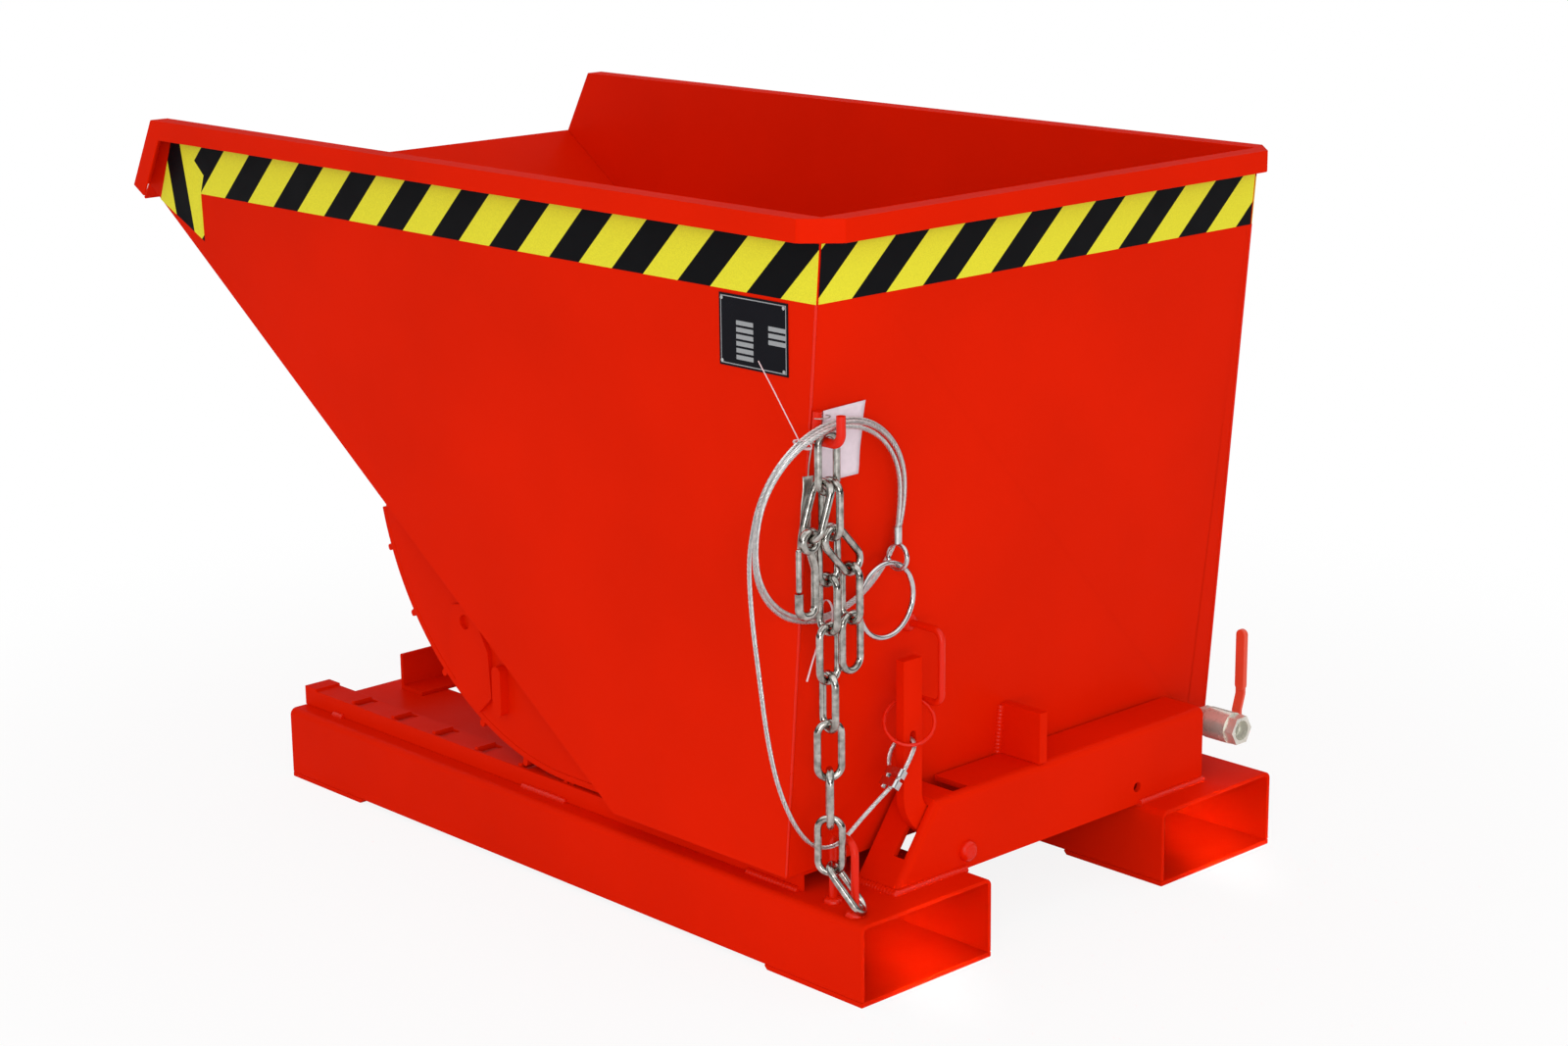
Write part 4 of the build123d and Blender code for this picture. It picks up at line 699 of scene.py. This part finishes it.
slot_of = {entry["node"]: entry["material_slot"] for entry in frame["record"]["subparts"]}
for name in nodes:
    slot = slot_of[name]
    edge_round = SHEET_BEVEL if slot == "red_paint" and name not in SQUARE_PARTS else 0.0
    dress(name, OWN_FINISH.get(name, SLOT_FINISH[slot]), edge_round)
print("dressed", len(nodes), "parts; slots", sorted(set(slot_of.values())))

# %% [markdown]
# ## Rope strands
# The rope is six strands laid round each other. A bump on a smooth tube would fade at its outline, so the
# strands are real. The tree steps along the route, tilts it more and more, and sweeps a ring of six small
# circles along it, which the growing tilt twists into strands.

# %% Rope strands
ROPE_DIAMETER = 0.005
STRANDS = 6
STRAND_RADIUS = 0.00083
STRAND_CORNERS = 7
ROPE_LAY = 0.030
ROPE_STEP = 0.0025

twist, given = new_tree("twisted_strands", {"Strands": INTEGER, "Strand Radius": FLOAT, "Lay": FLOAT,
                                            "Ring Radius": FLOAT, "Step": FLOAT, "Finish": MATERIAL})
line, run = stepped_line(twist, given)
tilt = math_node(twist, "MULTIPLY", math_node(twist, "DIVIDE", run, given["Lay"]), math.tau)
tilted = add_node(twist, "GeometryNodeSetCurveTilt", {"Curve": line, "Tilt": tilt})
ring = add_node(twist, "GeometryNodeCurvePrimitiveCircle",
                {"Resolution": given["Strands"], "Radius": given["Ring Radius"]})
strand = add_node(twist, "GeometryNodeCurvePrimitiveCircle",
                  {"Resolution": STRAND_CORNERS, "Radius": given["Strand Radius"]})
spots = add_node(twist, "GeometryNodeCurveToPoints", {"Curve": ring.outputs[0], "Count": given["Strands"]},
                 mode="COUNT")
around = add_node(twist, "GeometryNodeInstanceOnPoints",
                  {"Points": spots.outputs[0], "Instance": strand.outputs[0]})
section = add_node(twist, "GeometryNodeRealizeInstances", {"Geometry": around.outputs[0]})
swept = add_node(twist, "GeometryNodeCurveToMesh",
                 {"Curve": tilted.outputs[0], "Profile Curve": section.outputs[0], "Fill Caps": True})
close_tree(twist, swept.outputs[0], given["Finish"])
print("made", twist.name, "with", STRANDS, "strands")

# %% [markdown]
# Both pieces of the rope are swept with the same strands along their routes. The long one goes with the hopper,
# the loop with the latch, and the solid rope parts that they replace are hidden.

# %% Pull rope and latch loop
rope_values = {"Strands": STRANDS, "Strand Radius": STRAND_RADIUS,
               "Ring Radius": ROPE_DIAMETER / 2 - STRAND_RADIUS, "Lay": ROPE_LAY, "Step": ROPE_STEP,
               "Finish": strand_wire}
pull_rope = grow("pull_rope", [long_line], twist, rope_values)
latch_rope = grow("latch_rope", [loop_line], twist, rope_values)
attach(pull_rope, "hopper")
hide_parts("rope_coil", "rope_fall")
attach(latch_rope, "latch")
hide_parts("rope_loop")
print("rope", round(long_length, 3), "m and loop", round(loop_length, 3), "m")

# %% [markdown]
# ## Swept pieces
# Wires, straps and weld beads are all a section swept along a line. One tree makes them. A ripple along the line
# gives a weld bead its scales, and a straight strap leaves it at zero.

# %% Swept section
sweep, given = new_tree("swept_section", {"Width": FLOAT, "Thickness": FLOAT, "Ripple": FLOAT, "Pitch": FLOAT,
                                          "Step": FLOAT, "Corners": INTEGER, "Finish": MATERIAL})
line, run = stepped_line(sweep, given)
turns = math_node(sweep, "DIVIDE", run, given["Pitch"])
wave = math_node(sweep, "SINE", math_node(sweep, "MULTIPLY", turns, math.tau))
swell = math_node(sweep, "MULTIPLY_ADD", wave, given["Ripple"], 1.0)
ring = add_node(sweep, "GeometryNodeCurvePrimitiveCircle", {"Resolution": given["Corners"], "Radius": 0.5})
size = add_node(sweep, "ShaderNodeCombineXYZ", {"X": given["Width"], "Y": given["Thickness"], "Z": 1.0})
section = add_node(sweep, "GeometryNodeTransform", {"Geometry": ring.outputs[0], "Scale": size.outputs[0]})
swept = add_node(sweep, "GeometryNodeCurveToMesh", {"Curve": line, "Profile Curve": section.outputs[0],
                                                    "Scale": swell, "Fill Caps": True})
close_tree(sweep, swept.outputs[0], given["Finish"])


def swept_piece(name, lines, finish, width, thickness, corners=8, ripple=0.0, pitch=0.004, step=0.002):
    """Piece swept along lines in millimetres."""
    points = [[Vector(point) * MM for point in line] for line in lines]
    return grow(name, points, sweep,
                {"Width": width * MM, "Thickness": thickness * MM, "Ripple": ripple, "Pitch": pitch,
                 "Step": step, "Corners": corners, "Finish": finish})


def loop_line_at(middle, first, second, count=28):
    """Closed line round a middle, along two half axes."""
    middle, first, second = Vector(middle), Vector(first), Vector(second)
    turns = [math.tau * i / count for i in range(count + 1)]
    return [middle + first * math.cos(turn) + second * math.sin(turn) for turn in turns]


print("made", sweep.name)

# %% [markdown]
# ## Tags
# Two tags hang at the hook, a blank paper one against the wall and a crumpled one of thin metal beside the
# chain. A cloth simulation could crumple them, but at this size a small grid does as well. Its points are pushed
# about by a sum of waves, so nothing is random.

# %% Tag finishes
PAPER_TINT = (0.80, 0.68, 0.74, 1)
PAPER_FIBRES = 160.0
PAPER_ROUGHNESS, PAPER_SPECULAR = 0.8, 0.1

paper, tree, shader = new_finish("tag_paper")
place = add_node(tree, "ShaderNodeTexCoord").outputs["Object"]
fibre = spread(tree, noise(tree, place, PAPER_FIBRES, 3.0), 0.95, 1.03)
tint = add_node(tree, "ShaderNodeHueSaturation", {"Color": PAPER_TINT, "Value": fibre})
tree.links.new(tint.outputs[0], shader["Base Color"])
shader["Roughness"].default_value = PAPER_ROUGHNESS
shader["Specular IOR Level"].default_value = PAPER_SPECULAR
tag_metal = metal("tag_metal", (0.66, 0.65, 0.60), (0.34, 0.34, 0.31), gloss=0.34, scale=90.0)
print("tag finishes:", paper.name, tag_metal.name)

# %% Tags
PAPER_CORNERS = ((457.5, -334, 632), (457.5, -274, 634), (451.5, -279, 556), (451.5, -339, 555))
METAL_CORNERS = ((453.5, -360, 567), (453.5, -346, 566), (452.0, -348.5, 488), (452.0, -366, 488))
TAG_ROWS, TAG_COLUMNS = 16, 8
TAG_WAVES = ((1.0, 5.1, 2.3), (0.6, 13.0, -4.0))


def tag(name, corners, finish, buckle, thickness):
    """Sheet between four corners, buckled by waves that each have a height and a run down and across."""
    top_left, top_right, low_right, low_left = [Vector(corner) * MM for corner in corners]
    verts, faces = [], []
    for row in range(TAG_ROWS + 1):
        for column in range(TAG_COLUMNS + 1):
            down, across = row / TAG_ROWS, column / TAG_COLUMNS
            place = top_left.lerp(top_right, across).lerp(low_left.lerp(low_right, across), down)
            wave = sum(tall * math.sin(lengthwise * down + sideways * across)
                       for tall, lengthwise, sideways in TAG_WAVES)
            place.x += buckle * MM * wave
            verts.append(place)
    for row in range(TAG_ROWS):
        for column in range(TAG_COLUMNS):
            first = row * (TAG_COLUMNS + 1) + column
            faces.append((first, first + 1, first + TAG_COLUMNS + 2, first + TAG_COLUMNS + 1))
    mesh = bpy.data.meshes.new(name)
    mesh.from_pydata(verts, [], faces)
    sheet = bmesh.new()
    sheet.from_mesh(mesh)
    bmesh.ops.recalc_face_normals(sheet, faces=sheet.faces)
    bmesh.ops.solidify(sheet, geom=sheet.faces[:], thickness=thickness * MM)
    sheet.to_mesh(mesh)
    sheet.free()
    mesh.shade_smooth()
    mesh.materials.append(finish)
    piece = bpy.data.objects.new(name, mesh)
    bpy.context.scene.collection.objects.link(piece)
    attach(piece, "hopper")
    return piece


paper_tag = tag("paper_tag", PAPER_CORNERS, paper, buckle=0.5, thickness=0.3)
metal_tag = tag("metal_tag", METAL_CORNERS, tag_metal, buckle=1.0, thickness=0.5)
print("tags", len(paper_tag.data.polygons), len(metal_tag.data.polygons), "faces")

# %% [markdown]
# Each tag hangs on a thin wire. The metal tag's wire is hooked over the chain's top link, and the paper tag's is
# a closed ring round the stow hook.

# %% Tag wires
METAL_TAG_WIRE = [(453.5, -353, 563), (455, -352.5, 580), (459, -351.5, 604), (466, -350.5, 598),
                  (466, -345, 597), (459, -339, 604)]
PAPER_TAG_WIRE = loop_line_at((460.5, -339.5, 627), (7.5, 0, 0), (0, 10, 0))
TAG_WIRE = 1.2

tag_wires = swept_piece("tag_wires", [METAL_TAG_WIRE, PAPER_TAG_WIRE], tag_metal, TAG_WIRE, TAG_WIRE, corners=6)
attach(tag_wires, "hopper")
print("tag wires", len(tag_wires.data.polygons), "faces")

# %% [markdown]
# ## Cable ties
# Two cable ties hold the coil's turns together, one at its upper near side and one at its foot. Their long ends
# were never cut off. A tie is a flat nylon strap, so it is swept with a flat section of four corners.

# %% Cable ties
TIE_WIDTH, TIE_THICKNESS = 3.4, 1.2

nylon = painted("tie_nylon", (0.80, 0.60, 0.62), gloss=0.45, peel=0.05, specular=0.3)
upper_loop = loop_line_at((474, -379, 607.5), (12.5, 0, 0), (0, -2.6, 4.6))
upper_tail = [(471, -382, 612), (463, -388, 632), (451, -398, 664), (440, -407, 692)]
lower_loop = loop_line_at((444.5, -318, 413), (8.5, 0, 0), (0, 0, 13.5))
lower_tail = [(447, -322, 401), (446, -331, 387), (443, -338, 365), (441, -345, 343)]
cable_ties = swept_piece("cable_ties", [upper_loop, upper_tail, lower_loop, lower_tail], nylon,
                         TIE_WIDTH, TIE_THICKNESS, corners=4)
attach(cable_ties, "hopper")
print("cable ties", len(cable_ties.data.polygons), "faces")

# %% [markdown]
# ## Weld beads
# Weld beads join the steel parts. A bump in the paint could hint at them, but a bead stands proud and catches
# the light, so each is a swept line with a ripple for its scales, half sunk into the corner that it fills. On
# the base they run round the ends of the rear channel, along the rails and round the feet of the chain eye.

# %% Beads on the base
POCKET_TOP = 92.0
POCKET_INSIDE_Y = 147.0
CHANNEL_REAR_X, CHANNEL_FRONT_X = 482.0, 422.0
CHANNEL_NEAR_Y, CHANNEL_FAR_Y = -255.0, 262.0
RAIL_Y = 320.0
RAIL_BEADS_X = ((-456, -436), (-72, 8), (320, 400))
EYE_FEET = ((447.0, -314.5), (491.0, -325.5))
EYE_BEAD_RADIUS = 5.5
BEAD_SIZES = {"width": 11.0, "thickness": 11.0, "ripple": 0.07, "pitch": 0.0045, "step": 0.0012}


def on_pockets(*places):
    """Line through places on the top of the pockets."""
    return [(x, y, POCKET_TOP) for x, y in places]


base_beads = [on_pockets((CHANNEL_FRONT_X, CHANNEL_NEAR_Y), (CHANNEL_REAR_X, CHANNEL_NEAR_Y),
                         (CHANNEL_REAR_X, -POCKET_INSIDE_Y)),
              on_pockets((CHANNEL_REAR_X, POCKET_INSIDE_Y), (CHANNEL_REAR_X, CHANNEL_FAR_Y),
                         (CHANNEL_FRONT_X, CHANNEL_FAR_Y))]
for side in (-1, 1):
    for start, end in RAIL_BEADS_X:
        base_beads.append(on_pockets((start, side * RAIL_Y), (end, side * RAIL_Y)))
for x, y in EYE_FEET:
    base_beads.append(loop_line_at((x, y, POCKET_TOP), (EYE_BEAD_RADIUS, 0, 0), (0, EYE_BEAD_RADIUS, 0)))
base_welds = swept_piece("base_welds", base_beads, red_bar, **BEAD_SIZES)
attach(base_welds, "base")
print("weld beads on the base", len(base_beads))

# %% [markdown]
# On the hopper the beads run down both sides of the rest lug and round the feet of the staple, on the leaning
# rear wall.

# %% Beads on the hopper
REAR_FOOT_X, REAR_FOOT_Z = 412.0, 117.3
REAR_LEAN = math.radians(4.8)
LUG_Y = (-26.0, -14.0)
LUG_Z = (178, 240)
STAPLE_Y = -185.0
STAPLE_Z = (372.0, 290.0)
STAPLE_BEAD_WIDE, STAPLE_BEAD_TALL = (0, 5, 0), (0.42, 0, 5)


def on_rear_wall(y, z, inset=0.0):
    """Place on the outer face of the leaning rear wall."""
    return (REAR_FOOT_X + (z - REAR_FOOT_Z) * math.tan(REAR_LEAN) - inset, y, z)


hopper_beads = [[on_rear_wall(y, z) for z in LUG_Z] for y in LUG_Y]
for z in STAPLE_Z:
    hopper_beads.append(loop_line_at(on_rear_wall(STAPLE_Y, z), STAPLE_BEAD_WIDE, STAPLE_BEAD_TALL))
hopper_welds = swept_piece("hopper_welds", hopper_beads, red_bar, **BEAD_SIZES)
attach(hopper_welds, "hopper")
print("weld beads on the hopper", len(hopper_beads))

# %% [markdown]
# ## Corner seams
# The side walls meet the rear wall in a ground seam, which catches the light as a thin line down each corner. It
# is a thin swept rod that is nearly sunk in the corner, from the floor plate up to the tape.

# %% Corner seams
SEAM_Y = 349.5
SEAM_HEIGHTS = (121.0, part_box("rear_hazard_band")[0][2] / MM)
SEAM_INSET = 0.5
SEAM_WIDTH = 2.8

seams = [[on_rear_wall(side * SEAM_Y, z, SEAM_INSET) for z in SEAM_HEIGHTS] for side in (-1, 1)]
corner_seams = swept_piece("corner_seams", seams, red_bar, SEAM_WIDTH, SEAM_WIDTH, corners=10, step=0.02)
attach(corner_seams, "hopper")
print("corner seams", len(corner_seams.data.polygons), "faces")
